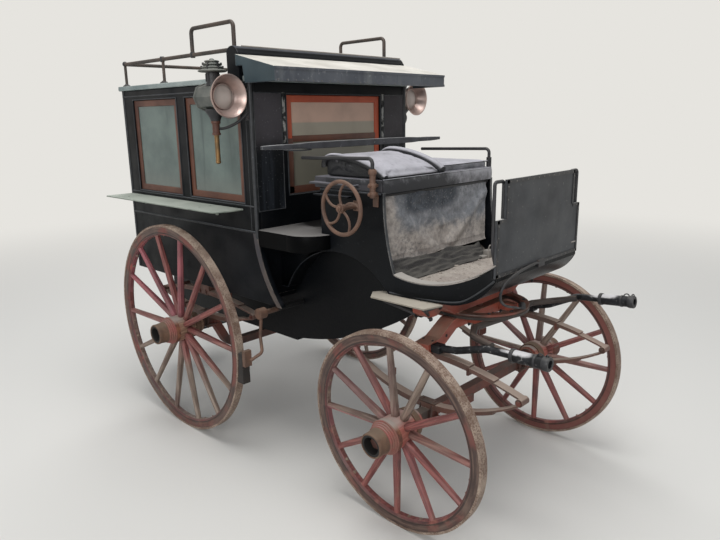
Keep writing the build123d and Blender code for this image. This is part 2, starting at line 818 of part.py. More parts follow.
nodes["boot_deck"] = deck + both_sides(shoulder) + seat_back_panel

# Seat board with its thin ledge, the two cushions and the rail at each end
seat_box = block(seat_back, seat_front, 4 - boot_half_width, boot_half_width - 4, board_low, seat_top)
ledge_half = boot_half_width + 26
seat_ledge = block(seat_back - 8, -353, -ledge_half, ledge_half, seat_top - 33, seat_top - 23)
nodes["seat_board"] = seat_box + seat_ledge

cushion_low = seat_top + clear
wedge_front = seat_front - 4
wedge_face = make_face(
    Line((wedge_front, cushion_low), (wedge_front, cushion_low + 8))
    + ThreePointArc((wedge_front, cushion_low + 8), (-393, seat_top + 78), (-549, seat_top + 97))
    + Line((-549, seat_top + 97), (-603, seat_top + 74))
    + Line((-603, seat_top + 74), (-596, cushion_low))
    + Line((-596, cushion_low), (wedge_front, cushion_low))
)
nodes["driver_cushion"] = side_plate(wedge_face, -402, 24)
nodes["passenger_cushion"] = block(seat_back + 20, wedge_front, 34, 402, cushion_low, cushion_low + 32)

rail_side = boot_half_width + 22
rail_high = seat_top + 93
column_x = -252
column_top = seat_top + 50
column_half = 14
seat_rail_line = (
    (seat_back - 50, rail_side, rail_high - 10), (column_x, rail_side, rail_high),
    (column_x, rail_side, column_top)
)
seat_rail = rod(seat_rail_line, 8, 22)
socket_low = board_low + 10
rail_socket = post(13, column_top - socket_low, column_x, rail_side, socket_low)
rail_socket += block(
    column_x - column_half, column_x + column_half,
    boot_half_width - 4, rail_side, socket_low, socket_low + 14
)
nodes["seat_rails"] = Compound(children=[seat_rail + rail_socket, mirrored(seat_rail)])

# Padded rail behind the driver, on two straps from the cabin's front
back_rail_z = seat_top + 135
back_bar = block(-738, -712, -650, 650, back_rail_z - 8, back_rail_z + 8)
back_pad = block(-750, -700, -430, 430, back_rail_z - 16, back_rail_z + 14)
strap_y = front_window_half + 2
back_strap_line = (
    (cabin_front, strap_y, back_rail_z - 24), (-760, strap_y, back_rail_z - 24),
    (-725, strap_y, back_rail_z - 8)
)
back_strap = strap(back_strap_line, 30, 8, 20)
nodes["back_rail"] = back_bar + back_pad + both_sides(back_strap)

# Leather apron hung from the seat front
nodes["apron"] = block(seat_front - 14, seat_front - 10, -402, 402, footwell_floor + 100, board_low - clear)

# Dashboard with a hand hole at each top corner, and the irons that frame it
dash = block(dash_back, toe_front, -dash_half_width, dash_half_width, toe_top + clear, dash_top)
hand_hole = block(
    dash_back - 9, toe_front + 9, dash_half_width - hand_hole_wide, dash_half_width + 9,
    dash_top - hand_hole_high, dash_top + 9
)
nodes["dashboard"] = dash - both_sides(hand_hole)
iron = 7
iron_x = dash_back - iron - clear
iron_in = dash_half_width - hand_hole_wide - 4
iron_low = toe_top + 17
iron_line = (
    (iron_x, iron_in / 2, iron_low), (iron_x, dash_half_width - 34, iron_low),
    (iron_x, dash_half_width, iron_low + 90), (iron_x, dash_half_width, dash_top - 6),
    (iron_x, iron_in, dash_top - 6), (iron_x, iron_in, dash_top - hand_hole_high),
)
nodes["dash_irons"] = pair(rod(iron_line, iron, 14))

# Side steps for the driver
step_face = outline(((-240, 386), (-270, 430), (-225, 492), (60, 492), (85, 396)))
nodes["driver_steps"] = pair(flat_plate(step_face, step_low, step_low + 8))

# Brake: a hand wheel on the right of the seat, its bracket, and blocks before the rear tyres
hand_x = -362
hand_z = board_low - 65
hand_y = -boot_half_width - 100
rim_thick = 9
hand_place = Plane(origin=(hand_x, hand_y, hand_z), x_dir=(1, 0, 0), z_dir=(0, -1, 0))
rim_middle = hand_wheel_radius - rim_thick
hand_wheel = revolve(Plane.XZ * Pos(rim_middle, 0) * RegularPolygon(rim_thick, 8), Axis.Z) + Cylinder(17, 26)
for i in range(hand_wheel_spokes):
    arc = Rot(0, 0, 360 / hand_wheel_spokes * i) * ThreePointArc((12, 0), (62, 26), (rim_middle - 4, 8))
    hand_wheel += sweep(Plane(origin=arc @ 0, z_dir=arc % 0) * RegularPolygon(6, 6), path=arc)
nodes["brake_hand_wheel"] = hand_place * hand_wheel
shaft = drum(10, hand_y + 13, -boot_half_width, hand_x, hand_z)
plate = block(hand_x - 22, hand_x + 22, -boot_half_width - 6, -boot_half_width, hand_z - 22, hand_z + 22)
column_low = board_low - 20
column = post(13, column_top - clear - column_low, column_x, -rail_side, column_low)
for reach, low in ((22, column_low), (6, board_low - 60)):
    column += block(
        column_x - column_half, column_x + column_half,
        -boot_half_width - reach, -boot_half_width, low, column_low + 16
    )
nodes["brake_column"] = shaft + plate + column

rear_tread = -wheelbase + rear_radius
brake_shaft_x = rear_tread + 50
brake_side = rear_half_track - 8
shaft_boss = drum(27, lever_y - 20, lever_y + 20, brake_shaft_x, brake_shaft_z)
brake_shaft = drum(13, well_half_width, lever_y, brake_shaft_x, brake_shaft_z)
lever_line = (
    (brake_shaft_x, lever_y, brake_shaft_z), (brake_shaft_x - 13, lever_y + 4, 645),
    (brake_shaft_x + 45, brake_side - 59, 585), (brake_shaft_x + 10, brake_side - 14, 548),
)
shoe_front = rear_tread + 37
holder = block(shoe_front + clear, shoe_front + 22, brake_side - 20, brake_side + 20, 520, 600)
nodes["brake_gear"] = pair(brake_shaft + shaft_boss + rod(lever_line, lever_radius, 22) + holder)
shoe = block(rear_tread - 25, shoe_front, brake_side - 22, brake_side + 22, 425, 585)
rear_left_place = wheel_place(rear_radius, rear_half_track, -wheelbase, rear_camber, 1)
shoe_gap = 7
nodes["brake_blocks"] = pair(shoe - rear_left_place * post(rear_radius + shoe_gap, 200, 0, 0, -120))

# Step at the rear door: two treads on a pair of straps under the well
tread_low = 215
tread_high = 372
hang_y = 190
hang_line = (
    (cabin_rear + 80, hang_y, well_bottom - 4), (cabin_rear - 10, hang_y, well_bottom - 4),
    (cabin_rear - 150, hang_y, tread_low - 4), (cabin_rear - 290, hang_y, tread_low - 4),
)
treads = block(cabin_rear - 230, cabin_rear - 70, -hang_y - 15, hang_y + 15, tread_high, tread_high + 12)
treads += block(cabin_rear - 300, cabin_rear - 150, -hang_y - 15, hang_y + 15, tread_low, tread_low + 12)
nodes["rear_step"] = treads + both_sides(strap(hang_line, 30, 8, 20))

# The finished part stands with its origin under the middle of its own box
boxes = [shape.bounding_box() for shape in nodes.values()]
back_end = min(box.min.X for box in boxes)
front_end = max(box.max.X for box in boxes)
shift = -(back_end + front_end) / 2
os.makedirs("parts", exist_ok=True)
for name, shape in nodes.items():
    export_step(Pos(shift, 0, 0) * shape, "parts/" + name + ".step")
print("nodes", len(nodes), "length", round(front_end - back_end, 2), "shift", round(shift, 3))
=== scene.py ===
# %% [markdown]
# # A private omnibus, finished around its packed model
# The carriage is a closed cabin that is entered from behind, with a driver's boot and box seat in front.
# It has stood in a barn for years: the black paint has faded to a dusty blue-black, the red running gear
# has worn to pink and grey, and the leather is stiff with dust. The packed model gives every solid its
# place. Here each solid gets its finish, and the soft and fine pieces are made around them.

# %% Load the packed model
import bpy
import bmesh
import json
import random
from math import atan2, cos, pi, radians, sin, sqrt, tau
from mathutils import Matrix, Vector, noise


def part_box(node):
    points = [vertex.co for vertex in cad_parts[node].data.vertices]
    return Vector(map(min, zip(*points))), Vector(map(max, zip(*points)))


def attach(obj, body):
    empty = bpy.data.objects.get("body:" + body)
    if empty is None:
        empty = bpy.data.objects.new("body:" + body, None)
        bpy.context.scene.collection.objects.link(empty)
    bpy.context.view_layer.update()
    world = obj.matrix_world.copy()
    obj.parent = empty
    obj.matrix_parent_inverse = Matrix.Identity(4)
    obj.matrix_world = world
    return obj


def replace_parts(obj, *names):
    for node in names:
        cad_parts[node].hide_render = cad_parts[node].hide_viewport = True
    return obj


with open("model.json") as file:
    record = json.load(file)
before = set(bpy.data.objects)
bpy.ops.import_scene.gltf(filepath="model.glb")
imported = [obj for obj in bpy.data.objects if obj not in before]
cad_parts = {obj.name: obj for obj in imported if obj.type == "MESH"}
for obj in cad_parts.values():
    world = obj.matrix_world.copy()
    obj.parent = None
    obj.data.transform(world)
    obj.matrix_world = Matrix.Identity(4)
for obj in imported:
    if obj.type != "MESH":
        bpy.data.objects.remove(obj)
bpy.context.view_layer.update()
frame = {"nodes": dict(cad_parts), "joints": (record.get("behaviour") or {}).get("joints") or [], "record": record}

# %% [markdown]
# ## Where things are
# The packed model has its origin under the middle of the carriage. The coach was measured from the middle
# of its front axle instead, in millimetres. One shift brings such a point into the packed frame, and every
# piece below is placed with it. The sizes that pieces share are read from the packed nodes.

# %% From the front axle to the packed frame
axle_low, axle_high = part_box("front_axle")
AXLE = (axle_low.x + axle_high.x) / 2


def at(x, y, z):
    return Vector((AXLE + x / 1000, y / 1000, z / 1000))


def span(node):
    return [(end - Vector((AXLE, 0, 0))) * 1000 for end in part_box(node)]


CABIN_SIDE = span("side_wall_left")[1][1]
CABIN_BACK = span("cabin_floor")[0][0]
CABIN_FRONT = span("cabin_floor")[1][0]
SILL = span("side_wall_left")[0][2]
ROOF_UNDER = span("roof")[0][2]
BOOT_SIDE = 420
SEAT_TOP = span("seat_board")[1][2]
BELT = 1151
print("cabin", CABIN_BACK, CABIN_FRONT, "half width", CABIN_SIDE, "seat", SEAT_TOP)

# %% [markdown]
# ## The camera
# The photograph was taken from the right front corner at about eye height, with a short lens. A camera
# can be aimed with a constraint or with angles. Angles keep the small roll of a hand-held shot, so the
# turn is built from the way the lens looks, which way is right, and which way is up.


# %% Camera at the photograph's place
def placed(name, data):
    thing = bpy.data.objects.new(name, data)
    bpy.context.scene.collection.objects.link(thing)
    return thing


YAW, PITCH, ROLL = radians(43.88), radians(13.65), radians(-0.92)
ahead = Vector((-sin(YAW) * cos(PITCH), cos(YAW) * cos(PITCH), -sin(PITCH)))
level_right = ahead.cross(Vector((0, 0, 1))).normalized()
level_up = level_right.cross(ahead)
right = level_right * cos(ROLL) + level_up * sin(ROLL)
up = level_up * cos(ROLL) - level_right * sin(ROLL)
camera = placed("camera", bpy.data.cameras.new("camera"))
camera.data.sensor_width = 36
camera.data.lens = 31.64
turn = Matrix((right, up, -ahead)).transposed().to_4x4()
camera.matrix_world = Matrix.Translation(at(1545, -2395, 1693)) @ turn
bpy.context.scene.camera = camera
bpy.context.scene.view_settings.view_transform = "Standard"
print("lens", camera.data.lens, "looks along", tuple(round(v, 3) for v in ahead))

# %% [markdown]
# ## Colours
# Colours are written as they look on a screen, as a hexadecimal number, and turned into the linear
# values that the shaders work with.


# %% Screen colour to linear colour
def shade(screen):
    parts = [(screen >> bits & 255) / 255 for bits in (16, 8, 0)]
    return [v / 12.92 if v <= 0.04045 else ((v + 0.055) / 1.055) ** 2.4 for v in parts] + [1.0]


print("mid grey is", round(shade(0x808080)[0], 3))

# %% [markdown]
# ## A finish and its steps
# A worn finish is always built from the same few steps: break the surface up with noise, turn the noise
# into a mask, mix two colours by it, and raise or lower the surface a little. A node group could hold
# these steps, but a small class keeps each finish readable as a list of what the weather did to it.
# What a node gives can be added and multiplied like a number. All patterns read Object coordinates, so
# they stay on the piece when it moves.


# %% The steps of a finish
class Value:
    def __init__(self, recipe, socket):
        self.recipe, self.socket = recipe, socket

    def math(self, operation, other=0.0):
        return self.recipe.add("Math", {0: self, 1: other}, operation=operation)

    def __add__(self, other):
        return self.math("ADD", other)

    def __mul__(self, other):
        return self.math("MULTIPLY", other)

    def __abs__(self):
        return self.math("ABSOLUTE")


class Recipe:
    def __init__(self, owner):
        owner.use_nodes = True
        self.nodes, self.links = owner.node_tree.nodes, owner.node_tree.links
        self.place, self.normal = (self.add("TexCoord", {}, out) for out in ("Object", "Normal"))

    def put(self, socket, value):
        if isinstance(value, Value):
            self.links.new(value.socket, socket)
        else:
            socket.default_value = shade(value) if socket.type == "RGBA" else value

    def add(self, kind, inputs, out=0, **options):
        node = self.nodes.new("ShaderNode" + kind)
        for option, choice in options.items():
            setattr(node, option, choice)
        for socket, value in inputs.items():
            self.put(node.inputs[socket], value)
        return Value(self, node.outputs[out])

    def stretched(self, *scale):
        return self.add("Mapping", {"Vector": self.place, "Scale": scale})

    def noise(self, scale, detail=4, place=None, rough=0.55, warp=0.0):
        return self.add("TexNoise", {"Vector": place or self.place, "Scale": scale, "Detail": detail,
                                     "Roughness": rough, "Distortion": warp})

    def creases(self, scale):
        return self.add("TexVoronoi", {"Vector": self.place, "Scale": scale}, "Distance",
                        feature="DISTANCE_TO_EDGE")

    def mask(self, value, low, high, least=0.0, most=1.0):
        return self.add("MapRange", {"Value": value, "From Min": low, "From Max": high, "To Min": least,
                                     "To Max": most}, "Result", interpolation_type="SMOOTHSTEP")

    def mix(self, share, first, second):
        return self.add("Mix", {0: share, 6: first, 7: second}, 2, data_type="RGBA")

    def tint(self, value, low, high, first, second, least=0.0, most=1.0):
        return self.mix(self.mask(value, low, high, least, most), first, second)

    def part(self, axis, vector=None):
        return self.add("SeparateXYZ", {0: vector or self.place}, axis)

    def joined(self, x, y, z):
        return self.add("CombineXYZ", {0: x, 1: y, 2: z})

    def dot(self, first, second):
        return self.add("VectorMath", {0: first, 1: second}, "Value", operation="DOT_PRODUCT")

    def along(self, origin, direction):
        return self.dot(self.add("VectorMath", {0: self.place, 1: origin}, operation="SUBTRACT"), direction)

    def facing_up(self, low=0.55, high=0.9):
        return self.mask(self.part("Z", self.normal), low, high)

    def edges(self, width, low=0.02, high=0.2):
        rounded = self.add("Bevel", {"Radius": width}, samples=4)
        alike = self.dot(rounded, self.add("NewGeometry", {}, "Normal"))
        return self.mask(self.add("Math", {0: 1.0, 1: alike}, operation="SUBTRACT"), low, high)

    def seen_directly(self):
        seen = self.add("LightPath", {}, "Is Camera Ray")
        for kind in ("Is Glossy Ray", "Is Transmission Ray"):
            seen = seen.math("MAXIMUM", self.add("LightPath", {}, kind))
        return seen


FINISHES = {}


class Finish(Recipe):
    def __init__(self, name, rough=0.6, metal=0.0, shine=0.5):
        self.material = FINISHES[name] = bpy.data.materials.new(name)
        super().__init__(self.material)
        self.shader = self.nodes["Principled BSDF"]
        self.settings = self.shader.inputs
        self.settings["Roughness"].default_value = rough
        self.settings["Metallic"].default_value = metal
        self.settings["Specular IOR Level"].default_value = shine

    def finish(self, colour, rough=None, height=None, depth=0.001):
        self.put(self.settings["Base Color"], colour)
        if rough is not None:
            self.put(self.settings["Roughness"], rough)
        if height is not None:
            bump = self.add("Bump", {"Distance": depth, "Strength": 1.0, "Height": height})
            self.put(self.settings["Normal"], bump)
        return self.material


print("steps of a finish:", [name for name in vars(Recipe) if not name.startswith("_")])

# %% [markdown]
# ## Old paint
# The cabin, the boot and the iron were all painted, and the paint has gone the same way on each: a dull
# patchy colour, streaks where water ran, dust where a face looks up, and bare edges. One recipe with
# different colours serves them all. `patch` is the size of the faded patches, as a noise scale, and
# `shaded` is the distance from the middle, in metres, within which a piece is painted nearly black as painted
# shade under the coach.


# %% The recipe for old paint
def old_paint(name, fresh, faded, bare, dust, patch=2.2, wear=0.5, dusty=0.8, rough=0.42, metal=0.0,
              edge=0.003, speck=0.25, shine=0.5, shaded=0.0):
    f = Finish(name, metal=metal, shine=shine)
    colour = f.tint(f.noise(patch, 5), 0.30, 0.72, fresh, faded)
    colour = f.tint(f.noise(14, 4, f.stretched(1, 1, 0.08)), 0.52, 0.8, colour, faded, 0, 0.5)
    chips = f.edges(edge) * f.mask(f.noise(28, 4), 0.62 - wear * 0.3, 0.75)
    colour = f.mix(chips, colour, bare)
    settled = f.facing_up() * f.mask(f.noise(5, 5), 0.2, 0.7, dusty * 0.5, dusty)
    specks = f.mask(f.noise(70, 2), 0.66, 0.76, 0, speck)
    colour = f.mix(settled.math("MAXIMUM", specks), colour, dust)
    if shaded:
        # painted shade: inside the `shaded` distance from the middle the colour goes nearly black, for the dark
        # under the coach
        colour = f.tint(abs(f.part("Y")), shaded, shaded + 0.03, colour, 0x0a0b0d, 1, 0)
    gloss = f.mask(f.noise(7, 5) + settled, 0.3, 1.1, rough, 0.9)
    return f.finish(colour, gloss, f.noise(160, 3) + chips * -1.5, 0.0003)


# name, fresh, faded, bare and dusty colour
old_paint("black_paint", 0x06080b, 0x0d1015, 0x4a4845, 0x595a5e, rough=0.3, speck=0.10, shine=0.14)
# the beads' pale bare edges and lighter fade are partly real wear and partly a painted highlight along their
# rounded tops
old_paint("black_bead", 0x1a1d21, 0x2c2f33, 0x77787a, 0x6c6f73, patch=30, edge=0.004, speck=0.4)
old_paint("black_iron", 0x16171a, 0x2c2b2e, 0x6b4a3a, 0x6f6b67, patch=9, dusty=0.5)
old_paint("rail_iron", 0x2a2522, 0x4a3d35, 0x7d5f4c, 0x7c7067, patch=12, rough=0.5, dusty=0.5)
old_paint("pale_sheet", 0x6f786f, 0x8f958b, 0x5d584e, 0xb0b5aa, patch=11, rough=0.5, speck=0.5)
old_paint("step_sheet", 0x837c71, 0x9d9588, 0x6a6459, 0xafa799, patch=8, rough=0.6, speck=0.4)
old_paint("roof_canvas", 0x6f7c7c, 0x9aa3a0, 0x93938c, 0xa4a69e, patch=5, rough=0.6)
for name, shaded in (("rusty_iron", 0.0), ("gear_iron", 0.49)):
    old_paint(name, 0x6d5040, 0x4d3a31, 0x94765f, 0x8d7a69, patch=14, dusty=0.3, rough=0.5, shaded=shaded)
old_paint("axle_iron", 0x372923, 0x6d3a2f, 0x8a6a50, 0x7c736a, patch=7, dusty=0.5, rough=0.55)
old_paint("spring_steel", 0x6b4a40, 0x52423b, 0xb09a8a, 0xb5a294, patch=5, dusty=0.9, rough=0.5, wear=0.9)
old_paint("worn_iron", 0x211d1c, 0x3c322d, 0x83685a, 0x6b5c53, patch=8, dusty=0.6, rough=0.45)
old_paint("nail_iron", 0x6b6964, 0x4a4744, 0xa7a49c, 0x8f8c86, patch=30, dusty=0.2, rough=0.4, metal=0.4)
old_paint("red_frame", 0xc0522d, 0xad4c2f, 0xc9a58b, 0xa8765f, patch=7, dusty=0.3, speck=0.1)
old_paint("brown_frame", 0x653a27, 0x4a2d24, 0x8d6a4f, 0x7a6a5c, patch=7, dusty=0.4, speck=0.1)
old_paint("brass", 0x8c6b43, 0x63523a, 0xb8975e, 0x9d8d74, patch=18, dusty=0.3, rough=0.3, metal=0.7)
old_paint("lamp_metal", 0x4d524f, 0x6f706b, 0xa39a90, 0x8d8c86, patch=14, dusty=0.5, metal=0.4)
old_paint("reflector", 0xb59d95, 0x9c8d88, 0xd6cbc4, 0xa59a92, patch=14, dusty=0.2, rough=0.3, metal=0.75)
old_paint("lamp_black", 0x1c1d20, 0x2c2c2f, 0x5b5550, 0x63605c, patch=16, dusty=0.4, rough=0.4)
old_paint("dusty_wood", 0x2e2d30, 0x46454a, 0x77726b, 0x84838a, patch=9, rough=0.6)
old_paint("block_wood", 0x2a2421, 0x1e1c1b, 0x5d4f43, 0x5f5851, patch=12, dusty=0.3, rough=0.7)
old_paint("bench_wood", 0x3a2d26, 0x4f4037, 0x7d6c5c, 0x827a70, patch=6, dusty=0.5, rough=0.6)
old_paint("rail_wood", 0x2b2c31, 0x3f4045, 0xb5b5b3, 0xa8a8a8, patch=16, dusty=1.0, rough=0.6, edge=0.004,
          wear=0.9, speck=0.4)
old_paint("dash_leather", 0x2b2d31, 0x404245, 0x8d8a85, 0x6e6c69, patch=6, rough=0.5, speck=0.5)
old_paint("hub_red", 0x8a4d47, 0x77564a, 0xa88570, 0x93847b, patch=22, dusty=0.6, rough=0.6)
old_paint("hub_tan", 0x6e5341, 0x503c30, 0x927b65, 0x7c6d5d, patch=20, dusty=0.5, rough=0.7, wear=0.8)
old_paint("bore_black", 0x0e0d0d, 0x161412, 0x1d1a18, 0x1a1816, dusty=0, speck=0, rough=0.7)
old_paint("swept_paint", 0x36343a, 0x5b5048, 0x8d857a, 0x7a7168, patch=5, dusty=0.4, edge=0.005, wear=0.9)
old_paint("batten_paint", 0x2b2d30, 0x4d4f51, 0x8e8b86, 0x85868a, patch=9, dusty=0.4, edge=0.005, wear=0.9)
# painted light: the boot's side panels stand in shade, so their black is painted lighter than the other black
# paint
old_paint("side_black", 0x1b1f24, 0x262a30, 0x4a4845, 0x595a5e, rough=0.4, speck=0.3)
# pale wear on the rim strips, stitches and cleat; on the crest bead the same pale finish is a painted highlight
old_paint("worn_edge", 0x7d7872, 0x96908a, 0x5c544c, 0xa39e97, patch=14, rough=0.8, speck=0.5)
print("painted finishes:", len(FINISHES))

# %% [markdown]
# ## Paint that changes along a piece
# Some nodes carry two finishes. The cabin's bottom is black outside and bare, dusty board inside the boot, where
# the faces that don't look up are painted nearly black as painted shade.
# The transom is red wood over a brown iron wheel plate. Masks on the Object coordinates find the place,
# because the packed nodes have no UV map of their own.


# %% Boards, visor, carriage wood and deck
def boards():
    f = Finish("floor_wood", shine=0.14)
    grain = f.noise(30, 5, f.stretched(0.06, 1, 1))
    colour = f.tint(grain, 0.3, 0.7, 0x4a4038, 0x6b5d50)
    gap = f.part("Y").math("PINGPONG", 0.06)
    colour = f.tint(gap, 0.0012, 0.0025, colour, 0x191613, 1, 0)
    rise = f.part("Z", f.normal)
    # faces that don't look up go nearly black: black paint outside the cabin's bottom, painted shade on the boot's
    # inner walls
    colour = f.tint(rise, 0.08, 0.25, colour, 0x080a0d, 1, 0)
    settled = f.mask(rise, 0.15, 0.75) * f.mask(f.noise(9, 6), 0.25, 0.65, 0.35, 1.0)
    colour = f.mix(settled, colour, f.tint(f.noise(24, 4), 0.35, 0.7, 0x9a938b, 0x6c655e))
    f.finish(colour, f.mask(rise, -0.1, 0.3, 0.35, 0.9), grain + f.noise(90, 3), 0.0008)


def visor_paint():
    f = Finish("visor_cover")
    rise = f.part("Z", f.normal)
    clouds = f.noise(4, 5)
    front = f.tint(clouds, 0.35, 0.7, 0x383d46, 0x50545b)
    front = f.tint(f.noise(20, 4, f.stretched(1, 1, 0.15)), 0.5, 0.75, front, 0x6b6e70, 0, 0.6)
    spots = f.mask(f.noise(50, 4), 0.58, 0.75) * f.mask(f.noise(3, 2), 0.4, 0.6, 0.1, 0.8)
    front = f.mix(spots, front, 0x8b8e92)
    side = f.tint(clouds, 0.3, 0.7, 0x24343b, 0x3b4a50)
    front = f.tint(abs(f.part("Y", f.normal)), 0.5, 0.8, front, side)
    # the top is painted cream: settled dust, and a painted highlight of the light from above
    top = f.tint(f.noise(6, 6), 0.3, 0.75, 0xc9c5bc, 0xaba79e)
    colour = f.tint(rise, 0.5, 0.8, front, top)
    f.finish(colour, f.mask(rise, 0.4, 0.9, 0.45, 0.85), f.noise(120, 3), 0.0004)


def carriage_red(name, plate_top):
    f = Finish(name)
    grain = f.noise(26, 5, f.stretched(1, 0.08, 1))
    colour = f.tint(grain, 0.3, 0.7, 0x8a4234, 0xa4523f)
    colour = f.tint(f.noise(7, 5), 0.44, 0.68, colour, 0x6d4c40, 0, 0.85)
    colour = f.mix(f.edges(0.004) * f.mask(f.noise(22, 4), 0.42, 0.6), colour, 0xb59a80)
    settled = f.facing_up() * f.mask(f.noise(8, 5), 0.3, 0.7, 0.3, 0.8)
    colour = f.mix(settled, colour, 0x9b8474)
    iron = f.tint(f.noise(12, 5), 0.35, 0.7, 0x4a332b, 0x6b4c40)
    iron = f.tint(f.noise(5, 3), 0.45, 0.6, iron, 0x8a4536, 0, 0.8)
    colour = f.tint(f.part("Z"), plate_top - 0.0006, plate_top + 0.0006, colour, iron, 1, 0)
    f.finish(colour, f.mask(f.noise(9, 4), 0.3, 0.7, 0.38, 0.7), grain, 0.0005)


def deck_paint():
    f = Finish("deck_paint", shine=0.05)
    near = f.mask(abs(f.part("Y")) + f.noise(9, 4) * 0.12, 0.30, 0.46)
    dust = f.facing_up() * f.mask(f.noise(12, 6) + near, 0.6, 1.3, 0.1, 0.95)
    # painted shade: the deck is nearly pure black, darker than the coach's black paint, so its lit front edge
    # reads as dark as the shade under it
    colour = f.mix(dust, f.tint(f.noise(4, 5), 0.3, 0.7, 0x020203, 0x060708), 0x85827f)
    f.finish(colour, f.mask(dust, 0, 1, 0.35, 0.9), f.noise(120, 3), 0.0003)


TRANSOM_DEPTH = 0.086
WHEEL_PLATE_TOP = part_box("transom")[1].z - TRANSOM_DEPTH
boards()
visor_paint()
carriage_red("red_wood", WHEEL_PLATE_TOP)
carriage_red("bolster_red", 0.0)
deck_paint()
print("upper wheel plate ends at", round(WHEEL_PLATE_TOP, 3))

# %% [markdown]
# ## Dusty glass
# The panes are old sheet glass with years of dust on both faces, so they scatter more than they pass.
# A clear glass shader would show the black cabin behind. A dusty one mixes a pale diffuse colour with
# some transmission, and rain has drawn darker streaks down it. The front window is painted lighter and pinker
# towards its top, as painted light.


# %% Glass finishes
def dusty_glass(name, pale, dark, through, front=0.0):
    f = Finish(name, rough=0.16)
    f.settings["Transmission Weight"].default_value = through
    f.settings["IOR"].default_value = 1.45
    film, height = f.noise(4, 6), f.part("Z")
    colour = f.tint(film, 0.3, 0.7, pale, dark)
    streaks = f.noise(9, 5, f.stretched(1, 1, 0.16), warp=0.6)
    colour = f.tint(streaks, 0.58, 0.72, colour, 0x3e4a49, 0, 0.55)
    colour = f.tint(height, 1.30, 1.46, colour, 0x84877f, 0.5, 0)
    # painted light: the front pane goes beige, then bright pink, towards its top
    painted_light = f.tint(height, 1.575, 1.60, 0x8f8b7c, 0xb3a996)
    painted_light = f.tint(height, 1.662, 1.672, painted_light, 0xe0b9a3)
    painted_light = f.tint(film, 0.4, 0.75, painted_light, 0x807a6e, 0, 0.35)
    f.finish(f.tint(f.part("X"), AXLE - 0.97, AXLE - 0.96, colour, painted_light, 0, front))


dusty_glass("glass", 0x72827c, 0x546360, 0.2, 1.0)
dusty_glass("lamp_glass", 0xd6c8c0, 0xb5a89f, 0.15)
print("panes are seen through by", FINISHES["glass"].name, "and", FINISHES["lamp_glass"].name)

# %% [markdown]
# ## Wheel wood and tyre iron
# Each wheel was painted red. The paint is still pink where a spoke is sheltered and worn to grey wood
# where it is not, one spoke at a time, and the grain runs along every spoke and round the rim. Plain
# Object coordinates can't follow that, so each wheel's material works out the distance from the hub and
# the angle round it, and reads its patterns from those two.


# %% Wheel finishes
def wheel_axes(joint):
    centre = Vector(joint["pos_m"])
    spin = Vector(joint["axis"]).normalized()
    out = spin if centre.y * spin.y > 0 else -spin
    ahead_axis = Vector((1, 0, 0))
    above = out.cross(ahead_axis).normalized()
    return centre, ahead_axis, above if above.z > 0 else -above, out


def wheel_paint(name, axes, spokes, rim_inside, redness, low_worn, high_worn):
    f = Finish(name)
    x, y, z = (f.along(axes[0], direction) for direction in axes[1:])
    angle = y.math("ARCTAN2", x)
    distance = (x * x + y * y).math("SQRT")
    rim = f.mask(distance, rim_inside - 0.002, rim_inside + 0.003)
    spoke_angle = angle * (spokes / tau)
    own = f.add("TexWhiteNoise", {"W": spoke_angle.math("ROUND")}, noise_dimensions="1D")
    spoke_grain = f.noise(1.6, 5, f.joined(distance * 3.0, angle * 16.0, z * 40.0))
    rim_grain = f.noise(1.2, 5, f.joined(distance * 60.0, angle * 3.0, z * 60.0))
    patches, height = f.noise(9, 5), f.part("Z")
    pink = f.tint(spoke_grain, 0.35, 0.68, 0x663635, 0x90554f)
    rosy = f.tint(patches, 0.35, 0.65, 0x7a464c, 0xa8626a)
    pink = f.tint((own * 7.3).math("FRACT"), 0.45, 0.8, pink, rosy, 0, 0.8)
    grey = f.tint(spoke_grain, 0.35, 0.65, 0x65554b, 0x8d7d71)
    worn = own * 0.5 + (f.mask(height, 0.1, 0.9, low_worn, high_worn) + patches * 0.6)
    spoke = f.tint(worn, 0.5, 0.95, pink, grey)
    spoke = f.tint(f.noise(4, 3), 0.5, 0.7, spoke, 0x55393a, 0, 0.6)
    spoke = f.tint(distance, 0.10, 0.05, spoke, 0x452c28, 0, 0.8)
    outer = f.tint(rim_grain, 0.35, 0.65, 0x3a2925, 0x634e44)
    outer = f.tint(patches, 0.58 - redness, 0.74 - redness * 0.9, outer, 0x75423b, 0, 0.8)
    inner = f.tint(rim_grain, 0.3, 0.7, 0x3e2524, 0x663b39)
    inner = f.tint(patches, 0.55, 0.7, inner, 0x9c5046, 0, 0.8)
    felloe = f.tint(distance, rim_inside + 0.0085, rim_inside + 0.0100, inner, outer)
    line = f.mask(distance, rim_inside + 0.0090, rim_inside + 0.0110)
    line = line * f.mask(distance, rim_inside + 0.0185, rim_inside + 0.0155)
    felloe = f.mix(line * 0.9, felloe, 0x2b1a17)
    felloe = f.tint(distance, rim_inside + 0.040, rim_inside + 0.046, felloe, 0x3a2a24, 0, 0.8)
    colour = f.mix(rim, spoke, felloe)
    joint = rim * f.mask((spoke_angle + 0.5).math("PINGPONG", 1.0), 0.002, 0.006, 0.7, 0)
    colour = f.mix(joint, colour, 0x33231e)
    colour = f.mix(f.edges(0.003) * f.mask(f.noise(30, 4), 0.4, 0.62), colour, 0xa8937c)
    mud = f.mask(f.noise(18, 5), 0.5, 0.75, 0, 0.55) * f.mask(height, 0.5, 0.0)
    colour = f.mix(mud, colour, 0x7b6a5c)
    gloss = f.mask(f.mask(patches, 0.4, 0.7), 0, 1, 0.5, 0.72)
    return f.finish(colour, gloss, f.mix(rim, spoke_grain, rim_grain), 0.0012)


